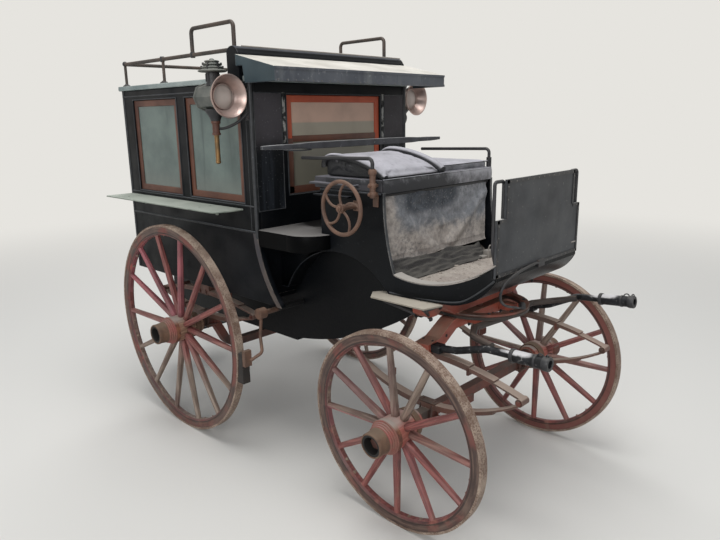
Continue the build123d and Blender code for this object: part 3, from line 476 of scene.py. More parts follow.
def hub_paint(name, axes, rosy, bare):
    f = Finish(name)
    x, y, z = (f.along(axes[0], direction) for direction in axes[1:])
    patches = f.noise(9, 4)
    grain = f.noise(1.5, 5, f.joined(z * 6.0, y.math("ARCTAN2", x) * 4.0, 0.0))
    wood = f.tint(grain, 0.35, 0.65, 0x6a5443, 0x917a63)
    paint = f.tint(grain, 0.3, 0.7, 0x8a463e, 0xa8685c)
    colour = f.tint(z, 0.046, 0.052, paint, wood)
    colour = f.tint(patches, 0.45, 0.65, colour, wood, bare, 0.9)
    colour = f.tint(patches, 0.5, 0.62, colour, 0xb04a4c, 0, rosy)
    collar = f.mask(z, 0.005, 0.008) * f.mask(z, 0.051, 0.048)
    colour = f.mix(collar, colour, f.tint(f.noise(40, 4), 0.35, 0.65, 0x57352a, 0x85563f))
    dust = f.facing_up() * f.mask(f.noise(8, 4), 0.3, 0.6, 0.4, 0.9)
    return f.finish(f.mix(dust, colour, 0x9a9189), 0.66, grain + f.noise(60, 4), 0.0015)


def tyre_paint():
    f = Finish("tyre_iron", metal=0.25)
    rust = f.noise(16, 6)
    colour = f.tint(rust, 0.35, 0.65, 0x7a665a, 0xa39284)
    colour = f.tint(f.noise(150, 5), 0.46, 0.6, colour, 0x5e4334, 0, 0.75)
    colour = f.tint(f.noise(5, 3), 0.5, 0.7, colour, 0xb5a594, 0, 0.5)
    f.finish(colour, f.mask(rust, 0.3, 0.7, 0.5, 0.8), f.noise(120, 4), 0.0006)


tyre_paint()
RIM_DEPTH = 0.056
REDNESS = {"front_right": 0.08, "front_left": 0.35, "rear_right": 0.12, "rear_left": 0.12}
WHEELS = {}
for joint in frame["joints"]:
    if joint["name"].endswith("_spin"):
        wheel = joint["name"][:-len("_spin")]
        rear = "rear" in wheel
        axes, spokes = wheel_axes(joint), 14 if rear else 12
        low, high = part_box(wheel + "_tyre")
        radius = (high.z - low.z) / 2
        wear = (0.75, -0.35) if rear else (0.0, 0.3)
        wood = wheel_paint("wheel_wood_" + wheel, axes, spokes, radius - RIM_DEPTH, REDNESS[wheel], *wear)
        rosy = 0.7 if wheel == "front_right" else 0.1
        hub = hub_paint("hub_wood_" + wheel, axes, rosy, 0.85 if rear else 0.0)
        WHEELS[wheel] = {"axes": axes, "radius": radius, "spokes": spokes, "wheel_wood": wood,
                         "hub_wood": hub}
print("wheels:", {name: round(w["radius"], 3) for name, w in WHEELS.items()})

# %% [markdown]
# ## Old leather
# The cushions and the apron are black leather that has gone grey. Its grain is a net of fine creases, for
# which Voronoi cells serve better than noise. Whatever faces up is painted pale: thick dust, and on the cushions a
# painted highlight of the light from above.


# %% Finishes of the soft goods
def aged_leather(name, dark, pale, dust, patch):
    f = Finish(name)
    colour = f.tint(f.noise(patch, 6), 0.3, 0.7, dark, pale)
    # the pale colour on upward faces is dust and, on the cushions, a painted highlight
    settled = f.facing_up(0.25, 0.8) * f.mask(f.noise(6, 5), 0.2, 0.7, 0.6, 1.0)
    settled = settled * f.mask(f.noise(45, 4), 0.2, 0.5, 0.7, 1.0)
    height = f.mask(f.creases(90), 0.0, 0.08) + f.noise(60, 3)
    f.finish(f.mix(settled, colour, dust), f.mask(settled, 0, 1, 0.45, 0.85), height, 0.0006)


def apron_leather():
    f = Finish("apron_leather", rough=0.7)
    clouds, mottle = f.noise(5, 7), f.noise(22, 6, rough=0.65)
    y, z = f.part("Y"), f.part("Z")
    colour = f.tint(clouds + mottle * 0.6, 0.6, 1.0, 0x6d7075, 0xa3a4a8)
    low = f.mask(z, 1.27, 1.08) + f.mask(y, -0.26, -0.40, 0, 0.9)
    tan = f.tint(mottle, 0.35, 0.65, 0xa39a93, 0xc3bab1)
    colour = f.tint(low + mottle * 0.9, 0.55, 1.1, colour, tan, 0, 0.9)
    wet = f.mask(z, 1.18, 1.33) * f.mask(abs(y + 0.06), 0.34, 0.1)
    damp = f.tint(mottle, 0.4, 0.7, 0x2b323c, 0x4d545d)
    colour = f.tint(wet * (clouds + 0.45), 0.35, 0.75, colour, damp, 0, 0.9)
    colour = f.tint(f.noise(120, 4), 0.55, 0.7, colour, 0xcfcac5, 0, 0.35)
    grit = f.mask(f.noise(60, 6, rough=0.7), 0.46, 0.62) * f.mask(clouds, 0.35, 0.6, 0.15, 0.6)
    colour = f.mix(grit, colour, 0x54565a)
    colour = f.tint(z + mottle * 0.012, 1.104, 1.098, colour, 0x6a6460, 0, 0.35)
    f.finish(colour, None, f.noise(50, 6) + f.creases(70), 0.0016)


def seat_leather():
    f = Finish("seat_leather", rough=0.6)
    mottle = f.noise(18, 6, rough=0.65)
    left = f.mask(f.part("Y"), -0.05, 0.2, -0.12, 0.28)
    upper = f.mask(f.part("Z"), 1.38, 1.43, -0.05, 0.12)
    colour = f.tint(mottle + left + upper, 0.45, 0.95, 0x2b2c30, 0x98979b)
    f.finish(f.mix(f.facing_up(), colour, 0x8f8f94), None, mottle + f.creases(90), 0.0008)


def stub_leather():
    f = Finish("stub_leather", rough=0.5, shine=0.25)
    patches = f.noise(30, 6, rough=0.65)
    x = f.part("X")
    worn = f.mask(x, AXLE + 0.28, AXLE + 0.42) * f.mask(x, AXLE + 0.54, AXLE + 0.44) * f.facing_up(0.0, 0.9)
    colour = f.tint(patches, 0.35, 0.7, 0x0e0f11, 0x2a2b2e)
    colour = f.tint(worn + patches * 0.9, 0.80, 1.30, colour, 0xc2c0c0)
    colour = f.tint(f.noise(60, 3), 0.62, 0.72, colour, 0x9b9894, 0, 0.5)
    f.finish(colour, None, patches, 0.001)


aged_leather("cushion_leather", 0x111214, 0x232428, 0xb3b1b7, 4)
aged_leather("faded_leather", 0x4f5055, 0x86868c, 0xb3b1b7, 14)
# the flap's colours, even its dust, are kept dark: dark old leather, and painted shade under the apron's hem
aged_leather("flap_leather", 0x1d1c1e, 0x333132, 0x57544f, 30)
apron_leather()
seat_leather()
stub_leather()
print("leather finishes:", [name for name in FINISHES if name.endswith("_leather")])

# %% [markdown]
# ## Each packed node gets its finish and soft edges
# The record names a material slot for every node, and the finishes here carry the same names, so the
# table of nodes doesn't have to be written again. Real wood and sheet have no razor edges. The packed
# meshes may not be changed, but a Bevel modifier on top of a Weld softens the edges of the flat boards.

# %% Finishes and edges on the packed nodes
# edge width in millimetres: the nodes that have it
SOFT_EDGES = {
    1.5: "rear_mudguards", 2: "driver_steps rear_step", 5: "roof_crest", 8: "boot_deck",
    3: "front_wall rear_wall rear_door boot_cheek_right boot_cheek_left visor side_window_frames"
       " front_window_frame bench_boxes brake_blocks",
    4: "side_wall_right side_wall_left seat_board roof transom fore_bolster",
}
OWN_FINISH = {"fore_bolster": "bolster_red", "luggage_rail": "rail_iron", "driver_steps": "step_sheet",
              "boot_deck": "deck_paint", "brake_gear": "gear_iron", "shaft_stubs": "stub_leather"}


def soften(node, width):
    node.modifiers.new("weld", "WELD").merge_threshold = 0.00002
    flat = node.modifiers.new("flat", "DECIMATE")
    flat.decimate_type = "DISSOLVE"
    flat.angle_limit = radians(1.5)
    bevel = node.modifiers.new("edge", "BEVEL")
    bevel.width = width / 1000
    bevel.segments = 2
    bevel.limit_method = "ANGLE"
    bevel.angle_limit = radians(35)
    bevel.harden_normals = False


for part_row in frame["record"]["subparts"]:
    name, slot = part_row["node"], part_row["material_slot"]
    node = frame["nodes"][name]
    wheel = "_".join(name.split("_")[:2])
    finish = WHEELS.get(wheel, {}).get(slot) or FINISHES[OWN_FINISH.get(name, slot)]
    node.data.materials.clear()
    node.data.materials.append(finish)
for width, names in SOFT_EDGES.items():
    for name in names.split():
        soften(frame["nodes"][name], width)
print("nodes with a finish:", sum(1 for n in frame["nodes"].values() if n.data.materials))

# %% [markdown]
# ## A workpiece and the cuts that shape it
# Most of the fittings below are made in the same few ways: turned on a lathe, sawn from a board, bent from
# rod. Each way is a bmesh operator, so one small class holds the workpiece and offers the cuts in
# millimetres from the front axle. `done` welds it, points its faces outwards, smooths what is round,
# gives it its finish, and lets it ride on its body.


# %% The workpiece
SIDES = (-1, 1)
BEND_ORDER, BEND_STEPS = 3, 8


def only(kind, geometry):
    return [v for v in geometry if isinstance(v, kind)]


class Work:
    def __init__(self):
        self.mesh = bmesh.new()

    def block(self, x0, x1, y0, y1, z0, z1):
        low, high = at(x0, y0, z0), at(x1, y1, z1)
        self.box(Matrix.Translation((low + high) / 2), [abs(v) for v in high - low])

    def box(self, place, size):
        bmesh.ops.create_cube(self.mesh, size=1, matrix=place @ Matrix.Diagonal((*size, 1)))

    def spun(self, profile, place, steps=32):
        verts = [self.mesh.verts.new(place @ Vector((r / 1000, 0, z / 1000))) for r, z in profile]
        edges = [self.mesh.edges.new(pair) for pair in zip(verts, verts[1:])]
        axis = place.to_3x3() @ Vector((0, 0, 1))
        bmesh.ops.spin(self.mesh, geom=verts + edges, cent=place.translation, axis=axis, angle=tau,
                       steps=steps, use_merge=True)

    def line(self, points, bend, cyclic=False, radius=0, sides=3):
        curve = bpy.data.curves.new("line", "CURVE")
        curve.dimensions = "3D"
        spline = curve.splines.new("NURBS" if bend else "POLY")
        spline.points.add(len(points) - 1)
        for point, place in zip(spline.points, points):
            point.co = (*place, 1)
        if bend:
            spline.order_u = BEND_ORDER
            spline.use_endpoint_u = not cyclic
            spline.resolution_u = BEND_STEPS
        spline.use_cyclic_u = cyclic
        curve.bevel_depth = radius / 1000
        curve.bevel_resolution = sides
        curve.use_fill_caps = True
        holder = bpy.data.objects.new("line", curve)
        mesh = bpy.data.meshes.new_from_object(holder)
        before = set(self.mesh.edges)
        self.mesh.from_mesh(mesh)
        bpy.data.objects.remove(holder)
        bpy.data.meshes.remove(mesh)
        return [e for e in self.mesh.edges if e not in before]

    def rod(self, points, radius, sides=3):
        self.line(points, True, False, radius, sides)

    def bar(self, points, radius, sides=2, cyclic=False):
        self.line(points, False, cyclic, radius, sides)

    def strip(self, points, across, thick, bend=False):
        wide = bmesh.ops.extrude_edge_only(self.mesh, edges=self.line(points, bend))["geom"]
        bmesh.ops.translate(self.mesh, vec=Vector(across) / 1000, verts=only(bmesh.types.BMVert, wide))
        bmesh.ops.solidify(self.mesh, geom=only(bmesh.types.BMFace, wide), thickness=thick / 1000)

    def sawn(self, outline, y, thick):
        face = self.mesh.faces.new([self.mesh.verts.new(at(x, y, z)) for x, z in outline])
        wall = bmesh.ops.extrude_face_region(self.mesh, geom=[face])["geom"]
        bmesh.ops.translate(self.mesh, vec=(0, thick / 1000, 0), verts=only(bmesh.types.BMVert, wall))

    def done(self, name, slot, finish=None, body="coach", bevel=0, sharp=35):
        bmesh.ops.remove_doubles(self.mesh, verts=self.mesh.verts[:], dist=0.00005)
        bmesh.ops.recalc_face_normals(self.mesh, faces=self.mesh.faces[:])
        if bevel:
            edges = [e for e in self.mesh.edges if e.is_manifold and e.calc_face_angle(0) > radians(30)]
            bmesh.ops.bevel(self.mesh, geom=edges, offset=bevel / 1000, affect="EDGES", segments=2,
                            profile=0.5, material=-1, clamp_overlap=True)
        data = bpy.data.meshes.new(name)
        self.mesh.to_mesh(data)
        self.mesh.clear()
        data.shade_smooth()
        data.set_sharp_from_angle(angle=radians(sharp))
        data.materials.append(FINISHES[finish or slot])
        thing = placed(name, data)
        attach(thing, body)
        return thing


def lathe(x, y, z, axis=(0, 0, 1)):
    turn = Vector(axis).to_track_quat("Z", "Y").to_matrix().to_4x4()
    return Matrix.Translation(at(x, y, z)) @ turn


work = Work()
print("ways to shape a workpiece:", [name for name in vars(Work) if not name.startswith("_")])

# %% [markdown]
# ## What the wheelwright added
# A real hub is turned: ridges step down from the iron band to a straight nose, which is hollow so that the
# axle nut can be reached. The felloes are bolted through to the tyre. The ridges are one lathe profile, and
# the bolts stand in pairs beside each felloe joint. All of it is set out round the wheel's own axle.

# %% Hub ridges, nose lining and tyre bolts
RIDGES = [(56, 30), (74, 30), (75, 33), (74, 36), (68, 37), (70, 41), (68, 45), (64, 46), (66, 50), (64, 54),
          (60, 55), (62, 59), (60, 63), (56, 65), (52, 65), (52, 30)]
NOSE = [(52, 66), (57, 66), (56, 70), (53, 100), (54, 104), (54, 116), (52, 119), (49, 120), (47, 119),
        (47, 112), (51, 108)]
# painted shade: the lining inside the hollow nose is nearly black, for the shade deep in the bore
LINING = [(37.4, 60), (37.4, 117), (48, 117), (48, 115), (40, 114), (40, 60)]
REAR_BAND = [(61, -128), (66, -128), (67, -124), (71, -98), (71, -95), (69, -94), (61, -94)]
BOLT = [(0, 7), (4.2, 6), (4.6, 2), (9, 1.5), (9, -4)]
BOLT_BACK, BOLT_SHIFT = -0.020, 5
TURNED = (("_hub_ridges", RIDGES, "hub_red"), ("_hub_nose", NOSE, "hub_tan"),
          ("_hub_lining", LINING, "bore_black"), ("_hub_rear_band", REAR_BAND, "hub_tan"))

for wheel, made in WHEELS.items():
    centre, ahead_axis, above, out = made["axes"]
    turned = Matrix((ahead_axis, out.cross(ahead_axis), out)).transposed().to_4x4()
    place = Matrix.Translation(centre) @ turned
    body, inside = "wheel_" + wheel, made["radius"] - RIM_DEPTH
    for part, profile, finish in TURNED:
        work.spun(profile + profile[:1], place, 48)
        work.done(wheel + part, "hub_wood", finish, body)
    for i in range(made["spokes"] // 2):
        for shift in (-BOLT_SHIFT, BOLT_SHIFT):
            angle = (2 * i - 0.5) * tau / made["spokes"] + radians(shift)
            spot = place @ Matrix.Rotation(angle, 4, "Z") @ Matrix.Translation((inside, 0, BOLT_BACK))
            work.spun(BOLT, spot @ Matrix.Rotation(-pi / 2, 4, "Y"), 6)
    work.done(wheel + "_tyre_bolts", "tyre_iron", body=body, sharp=30)
print("wheels dressed:", list(WHEELS))

# %% [markdown]
# ## The two lamps
# Each lamp is a candle lamp: a ribbed barrel with a flared reflector, a vented crown on a short chimney, and
# a long brass tube below that holds the candle on a spring. Every part of it was spun on a lathe, so a
# profile and a spin make each one. The barrel is spun in eight steps, which gives its flat panels.

# %% Lamp profiles and the lamps
BARREL = [(0, -92), (40, -92), (54, -88), (60, -80), (64, -78), (64, -70), (60, -68), (60, 44), (64, 46),
          (64, 56), (58, 60), (30, 62), (0, 62)]
BELL = [(60, 58), (66, 66), (73, 82), (84, 101), (92, 112), (95, 117), (97, 118), (97, 121), (94, 122),
        (90, 119), (80, 105), (68, 86), (60, 72), (55, 66), (46, 64), (46, 58)]
LENS_RING = [(52, 66), (57, 66), (58, 72), (56, 76), (52, 76)]
LENS = [(0, 84), (22, 82), (40, 77), (53, 69), (53, 66), (0, 66)]
CHIMNEY = [(0, 50), (33, 50), (33, 60), (31, 62), (31, 106), (34, 110), (34, 114), (0, 114)]
CROWN = [(0, 110), (60, 110), (65, 112), (66, 116), (60, 119), (50, 121), (46, 126), (50, 128), (50, 131),
         (42, 134), (38, 140), (43, 142), (43, 145), (34, 148), (30, 154), (35, 156), (34, 159), (24, 162),
         (12, 164), (9, 168), (4, 170), (0, 170)]
FUNNEL = [(0, -52), (44, -54), (48, -60), (44, -68), (34, -80), (26, -96), (22, -108), (0, -108)]
SOCKET = [(0, -106), (20, -106), (22, -110), (22, -118), (17, -122), (17, -160), (20, -164), (20, -172),
          (0, -172)]
TUBE = [(0, -168), (13, -168), (13, -176), (11.5, -178), (11.5, -292), (13, -294), (13, -300), (8, -304),
        (0, -306)]
# part, profile, steps, finish
LYING = (("_barrel", BARREL, 8, "lamp_metal"), ("_bell", BELL, 48, "reflector"),
         ("_lens_ring", LENS_RING, 40, "reflector"), ("_lens", LENS, 40, "lamp_glass"))
STANDING = (("_chimney", CHIMNEY, 24, "lamp_black"), ("_crown", CROWN, 32, "lamp_metal"),
            ("_funnel", FUNNEL, 24, "lamp_black"), ("_socket", SOCKET, 24, "brown_frame"),
            ("_candle_tube", TUBE, 24, "brass"))
# how many vents, their distance from the middle, their height, their size
VENTS = ((10, 0.0315, 0.085, (0.004, 0.007, 0.034)), (6, 0.047, 0.131, (0.010, 0.006, 0.012)),
         (6, 0.040, 0.1455, (0.010, 0.006, 0.012)))
LAMP_X, LAMP_OUT, LAMP_Z = -1030, CABIN_SIDE + 114, 1790


def lamp(name, side):
    x, y, z = LAMP_X, side * LAMP_OUT, LAMP_Z
    upright = lathe(x, y, z)
    for place, parts in ((lathe(x, y, z, (1, 0, 0)), LYING), (upright, STANDING)):
        for part, profile, steps, finish in parts:
            work.spun(profile, place, steps)
            slot = "brass" if finish == "brass" else "lamp_metal"
            piece = work.done(name + part, slot, finish, sharp=28)
            if part == "_barrel":
                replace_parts(piece, name)
    for count, away, height, size in VENTS:
        for i in range(count):
            spot = upright @ Matrix.Rotation(i * tau / count, 4, "Z")
            work.box(spot @ Matrix.Translation((away, 0, height)), size)
    work.done(name + "_vents", "lamp_metal", "lamp_black")
    near, plate = side * (CABIN_SIDE + 5), CABIN_FRONT - 14
    work.rod([at(x, y - side * 8, z - 140), at(x + 26, y - side * 10, z - 146),
              at(x + 66, y - side * 40, z - 132), at(plate, near + side * 30, z - 100),
              at(plate, near, z - 66)], 6.5, sides=4)
    work.block(plate - 14, plate + 10, near - side * 5, near + side * 3, z - 108, z - 24)
    for drop in (36, 96):
        work.spun([(0, 7), (5, 6), (6, 0)], lathe(plate - 2, near + side * 2, z - drop, (0, side, 0)), 12)
    work.done(name + "_arm", "black_iron", bevel=1)


lamp("lamp_right", -1)
lamp("lamp_left", 1)
print("lamps made, tube ends at", round(at(0, 0, LAMP_Z + TUBE[-1][1]).z, 3))

# %% [markdown]
# ## The stuffed seats
# A horsehair cushion is tight in the middle and pulled in at its seams. It could be sculpted, but blowing a
# cloth up from inside gives the crown and the small creases at once. Each cushion starts as a slightly
# smaller block, is remeshed into an even net, and is blown up for twenty frames. A cap keeps it inside the
# space that the frame leaves, and its underside stays on the board. Seam welts are laid on afterwards.

# %% Blow a block up into a cushion
PRESSURE, LAST_FRAME, VOXEL = 4, 20, 0.006


def bake(thing):
    depsgraph = bpy.context.evaluated_depsgraph_get()
    mesh, old = bpy.data.meshes.new_from_object(thing.evaluated_get(depsgraph)), thing.data
    thing.modifiers.clear()
    thing.data = mesh
    bpy.data.meshes.remove(old)


def puffed(thing, cap, smooth=1):
    remesh = thing.modifiers.new("even net", "REMESH")
    remesh.mode = "VOXEL"
    remesh.voxel_size = VOXEL
    bake(thing)
    rest = [v.co.copy() for v in thing.data.vertices]
    floor = min(co.z for co in rest)
    cloth = thing.modifiers.new("cloth", "CLOTH")
    cloth.settings.use_pressure = True
    cloth.settings.uniform_pressure_force = PRESSURE
    cloth.settings.effector_weights.gravity = 0
    for frame_number in range(1, LAST_FRAME + 1):
        bpy.context.scene.frame_set(frame_number)
    bake(thing)
    bpy.context.scene.frame_set(1)
    for vertex, start in zip(thing.data.vertices, rest):
        move = vertex.co - start
        move.length = min(move.length, cap)
        vertex.co = start + move
        vertex.co.z = max(vertex.co.z, floor)
    if smooth:
        subdivision = thing.modifiers.new("subdivision", "SUBSURF")
        subdivision.levels = subdivision.render_levels = smooth
    thing.data.shade_smooth()


WEDGE = [(-590, 1432), (-234, 1432), (-234, 1438), (-270, 1458), (-330, 1482), (-393, 1500), (-470, 1514),
         (-545, 1519), (-594, 1498)]
work.sawn(WEDGE, -392, 406)
driver = work.done("driver_seat_cushion", "cushion_leather", bevel=8)
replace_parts(driver, "driver_cushion")
puffed(driver, 0.010)

work.block(-606, -232, 40, 400, 1431, 1464)
passenger = work.done("passenger_seat_cushion", "cushion_leather", "faded_leather", bevel=8)
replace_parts(passenger, "passenger_cushion")
puffed(passenger, 0.008)

bench_back, bench_front = (end[0] for end in span("bench_cushions"))
for side, hand in zip(SIDES, ("right", "left")):
    work.block(bench_back + 10, bench_front - 10, side * 302, side * 516, 1012, 1080)
    bench = work.done("bench_cushion_" + hand, "cushion_leather", bevel=14)
    if hand == "right":
        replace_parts(bench, "bench_cushions")
    puffed(bench, 0.010, smooth=0)
print("cushions blown up, triangles", sum(len(o.data.loop_triangles) for o in (driver, passenger, bench)))

# %% Rolls and welts on the cushions
ROLL = [(-598, 1470), (-603, 1496), (-560, 1522), (-470, 1517), (-393, 1503), (-330, 1485), (-270, 1461),
        (-236, 1440), (-228, 1436)]
for hand, y, radius, lift in (("right", -388, 15, 0), ("left", 12, 20, 8)):
    work.rod([at(x, y, z + lift) for x, z in ROLL], radius, sides=6)
    work.done("cushion_roll_" + hand, "cushion_leather", sharp=80)


def welt(x0, x1, y0, y1, z, radius):
    work.bar([at(x, y, z) for x, y in ((x0, y0), (x1, y0), (x1, y1), (x0, y1))], radius, sides=3, cyclic=True)


for z in (1463, 1433):
    welt(-604, -234, 42, 398, z, 3)
for side in SIDES:
    for z in (1016, 1084):
        welt(bench_back + 12, bench_front - 12, side * 304, side * 514, z, 4)
work.done("cushion_welts", "cushion_leather", sharp=80)

# %% [markdown]
# ## The apron
# The apron hangs from a roller under the seat and hides the space below. It is one stiff old sheet, so it
# doesn't drape in soft folds: two long creases run from its corners towards the middle of the hem, with
# shallow dents between them. A cloth simulation would lose those, so a fine grid is pushed in code.

# %% Apron with its creases and hem
APRON_X, APRON_TOP, APRON_LOW, APRON_HALF, HEM = -239, 1378, 1064, 398, 6
# height in millimetres, start and end over the sheet, width
CREASES = ((15, (0.02, 0.12), (0.42, 0.95), 0.10), (12, (0.97, 0.22), (0.62, 0.9), 0.09),
           (8, (0.30, 0.02), (0.52, 0.6), 0.08), (-9, (0.4, 0.2), (0.6, 0.45), 0.16))


def ripple(*place):
    return noise.noise(Vector(place))


def crease(u, v, start, end, width):
    ax, ay, bx, by = *start, *end
    share = min(1, max(0, ((u - ax) * (bx - ax) + (v - ay) * (by - ay)) / ((bx - ax) ** 2 + (by - ay) ** 2)))
    away = sqrt((u - ax - share * (bx - ax)) ** 2 + (v - ay - share * (by - ay)) ** 2)
    return (1 - (away / width) ** 2) ** 2 if away < width else 0


def on_apron(u, v, out=0.0, wave=0.0):
    push = sum(high * crease(u, v, start, end, width) for high, start, end, width in CREASES)
    push += 7 * v * ripple(3.2 * u, 2.1 * v, 0.4) + 3.0 * ripple(9 * u, 7 * v, 2.0)
    push += 1.2 * ripple(26 * u, 18 * v, 5.0)
    push = push * min(1, v / 0.12) + 9 * v * v + 5 * max(0, v - 0.93) / 0.07
    y = APRON_HALF * (2 * u - 1) * (1 - 0.012 * v) + wave
    return at(APRON_X + push + out, y, APRON_TOP + (APRON_LOW - APRON_TOP) * v + 7 * v * ripple(3 * u, 0, 4))


bmesh.ops.create_grid(work.mesh, x_segments=120, y_segments=64, size=0.5)
for vertex in work.mesh.verts:
    u, v = vertex.co.x + 0.5, 0.5 - vertex.co.y
    vertex.co = on_apron(u, v, wave=5 * ripple(0, 4 * v, 9 + round(u)) * abs(2 * u - 1) ** 6)
apron = work.done("apron_sheet", "apron_leather", sharp=80)
thick = apron.modifiers.new("thickness", "SOLIDIFY")
thick.thickness = 0.0025
thick.offset = 0
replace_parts(apron, "apron")
for v in (0.90, 0.925):
    for i in range(96):
        u = 0.02 + 0.96 * i / 95
        work.bar([on_apron(u, v, 1.6), on_apron(u + 0.006, v, 1.6)], 0.7, sides=1)
stitches = work.done("apron_stitches", "apron_leather", sharp=80)
work.rod([on_apron(i / 24, 0.995, 0.5) for i in range(25)], 3.2, sides=2)
for u in (0.004, 0.996):
    work.rod([on_apron(u, i / 16, 0.5) for i in range(17)], 2.4, sides=2)
hem = work.done("apron_hem", "apron_leather", sharp=80)

# %% [markdown]
# ## Mouldings of the cabin
# Thin wooden beads cover the joints between the cabin's boards: one all round at the belt, one above the
# windows, a frame round each panel, and a round post on each corner. A bead is a rod that is half sunk in
# the wall. The swept edge over the boot has a flat batten, which is a strip laid along the same curve.


# %% Beads, corner posts and panels
def through(first, second, third, steps=16):
    (ax, ay), (bx, by), (cx, cy) = first, second, third
    d = 2 * (ax * (by - cy) + bx * (cy - ay) + cx * (ay - by))
    a, b, c = ax * ax + ay * ay, bx * bx + by * by, cx * cx + cy * cy
    ux = (a * (by - cy) + b * (cy - ay) + c * (ay - by)) / d
    uy = (a * (cx - bx) + b * (ax - cx) + c * (bx - ax)) / d
    radius = sqrt((ax - ux) ** 2 + (ay - uy) ** 2)
    start, mid, end = (atan2(y - uy, x - ux) for x, y in (first, second, third))
    sweep = (end - start) % tau
    if (mid - start) % tau > sweep:
        sweep -= tau
    return [(ux + radius * cos(start + sweep * i / steps), uy + radius * sin(start + sweep * i / steps))
            for i in range(steps + 1)]


def along_wall(x, y0, y1, z0, z1, radius):
    work.bar([at(x, y, z) for y, z in ((y0, z0), (y1, z0), (y1, z1), (y0, z1))], radius, cyclic=True)


SWEEP = through((CABIN_FRONT, BELT), (-868, 985.5), (-750, SILL))
for side in SIDES:
    y = side * CABIN_SIDE
    for z, radius in ((BELT, 6), (1824, 4), (1276, 4)):
        work.bar([at(CABIN_BACK + 2, y, z), at(CABIN_FRONT - 2, y, z)], radius)
    for x, radius, low in ((CABIN_BACK + 4, 9, SILL + 4), (CABIN_FRONT - 3, 10, BELT - 30), (-952, 4, BELT)):
        work.bar([at(x, y - side * 3, low), at(x, y - side * 3, ROOF_UNDER)], radius, sides=3)
    for x0, x1 in ((-2034, -1558), (-1479, -991)):
        corners = ((x0, 1286), (x1, 1286), (x1, 1804), (x0, 1804))
        work.bar([at(x, y, z) for x, z in corners], 4, cyclic=True)
for y0, y1 in ((-540, -374), (374, 540)):
    along_wall(CABIN_FRONT, y0, y1, 1252, 1808, 4)
work.bar([at(CABIN_FRONT, -CABIN_SIDE, BELT), at(CABIN_FRONT, CABIN_SIDE, BELT)], 6)
along_wall(CABIN_FRONT, -344, 344, 1314, 1806, 5)
work.done("cabin_beads", "black_paint", "black_bead", sharp=60)

for side in SIDES:
    line = [at(x + 1, side * (CABIN_SIDE + 3), z) for x, z in SWEEP]
    work.strip(line, (-32, 0, 0), 4)
work.done("swept_edge_battens", "black_paint", "swept_paint")


def faded_panel():
    f = Finish("panel_grey", rough=0.5, shine=0.2)
    runs = f.noise(30, 5, f.stretched(1, 1, 0.06))
    colour = f.tint(f.noise(4, 5), 0.3, 0.7, 0x353235, 0x434044)
    lower = f.tint(runs, 0.45, 0.7, 0x0b0e12, 0x262a30)
    colour = f.tint(f.part("Z") + f.noise(5, 3) * 0.1, 1.66, 1.58, colour, lower)
    f.finish(f.tint(f.noise(90, 2), 0.64, 0.74, colour, 0x77787a, 0, 0.5), None, runs, 0.0004)


def chipped_white():
    f = Finish("chipped_white", rough=0.75)
    chips = f.mask(f.noise(26, 5), 0.42, 0.55)
    f.finish(f.mix(chips, 0x161719, 0x9b9a96), None, chips, 0.0008)


faded_panel()
chipped_white()
for side in SIDES:
    work.block(CABIN_FRONT - 1, CABIN_FRONT + 1.5, side * 376, side * 538, 1254, 1806)
work.done("front_panels", "black_paint", "panel_grey")
for side in SIDES:
    work.block(CABIN_FRONT - 1, CABIN_FRONT + 4, side * 368, side * 352, 1550, 1812)
work.done("chipped_window_post", "black_paint", "chipped_white", bevel=1.5)
print("sweep of the side wall from", SWEEP[0], "to", tuple(round(v) for v in SWEEP[-1]))

# %% [markdown]
# ## The front window's lower sash
# The front window is in two sashes. The upper one kept its orange-red paint, while the lower one slides
# behind it and is bare brown. A stile and two thin rails over the packed frame show where it begins.

# %% Lower sash
work.block(-922, -914, -338, -304, 1320, 1592)
work.block(-922, -914, -338, 338, 1320, 1356)
work.block(-928, -915, -305, 305, 1574, 1604)
work.done("lower_sash", "brown_frame", bevel=1.5)

# %% [markdown]
# ## The back of the cabin
# The door has two sunk panels below its light, each framed by a bead, and a brass rose behind the handle.
# The wall round it has corner beads and a drip moulding above the door.

# %% Door mouldings
for half, z0, z1, radius in ((218, 640, 900, 5), (218, 940, 1250, 5), (206, 1294, 1734, 6)):
    along_wall(CABIN_BACK, -half, half, z0, z1, radius)
work.block(CABIN_BACK - 3, CABIN_BACK + 1, 214, 246, 1070, 1226)
work.done("door_mouldings", "black_paint", "black_bead", bevel=1, body="rear_door")
along_wall(CABIN_BACK, -296, 290, 584, 1804, 7)
work.bar([at(CABIN_BACK, -526, 1836), at(CABIN_BACK, 526, 1836)], 7, sides=3)
for side in SIDES:
    for z0, z1 in ((860, 1130), (1180, 1800)):
        along_wall(CABIN_BACK, side * 505, side * 330, z0, z1, 5)
work.done("rear_wall_mouldings", "black_paint", "black_bead", sharp=60)
work.spun([(0, 6), (9, 5), (12, 2), (13, 0), (13, -1)], lathe(CABIN_BACK - 3, 230, 1194, (-1, 0, 0)), 24)
for z in (1078, 1218):
    work.spun([(0, 3), (3, 2.5), (4, 0)], lathe(CABIN_BACK - 3, 230, z, (-1, 0, 0)), 12)
work.done("handle_rose", "brass", body="rear_door")
print("rear door's outer face at", round(span("rear_door")[0][0]))

# %% [markdown]
# ## The boot's sides, rim and footwell
# A black panel closes each side between the deck and the wheel arch. The near edge of the boot is capped
# with a strip that feet have worn pale. It follows the cut of the cheek: down from the seat, round the knee
# and up to the dash. The floor behind it is a loose board, deep in dust, with plaster crumbs and an old
# leather flap pushed to the back.


# %% Side panels, rim and knee strips, beads and footboard
def cheek_side(x):
    share = max(0.0, (x + 150) / 440)
    return BOOT_SIDE - 15 * share - 65 * share * share


ARCH_END = -600
arch = [(x, z) for x, z in through((-860, 860), (-512, 1088), (-190, 947), 48) if x < ARCH_END]
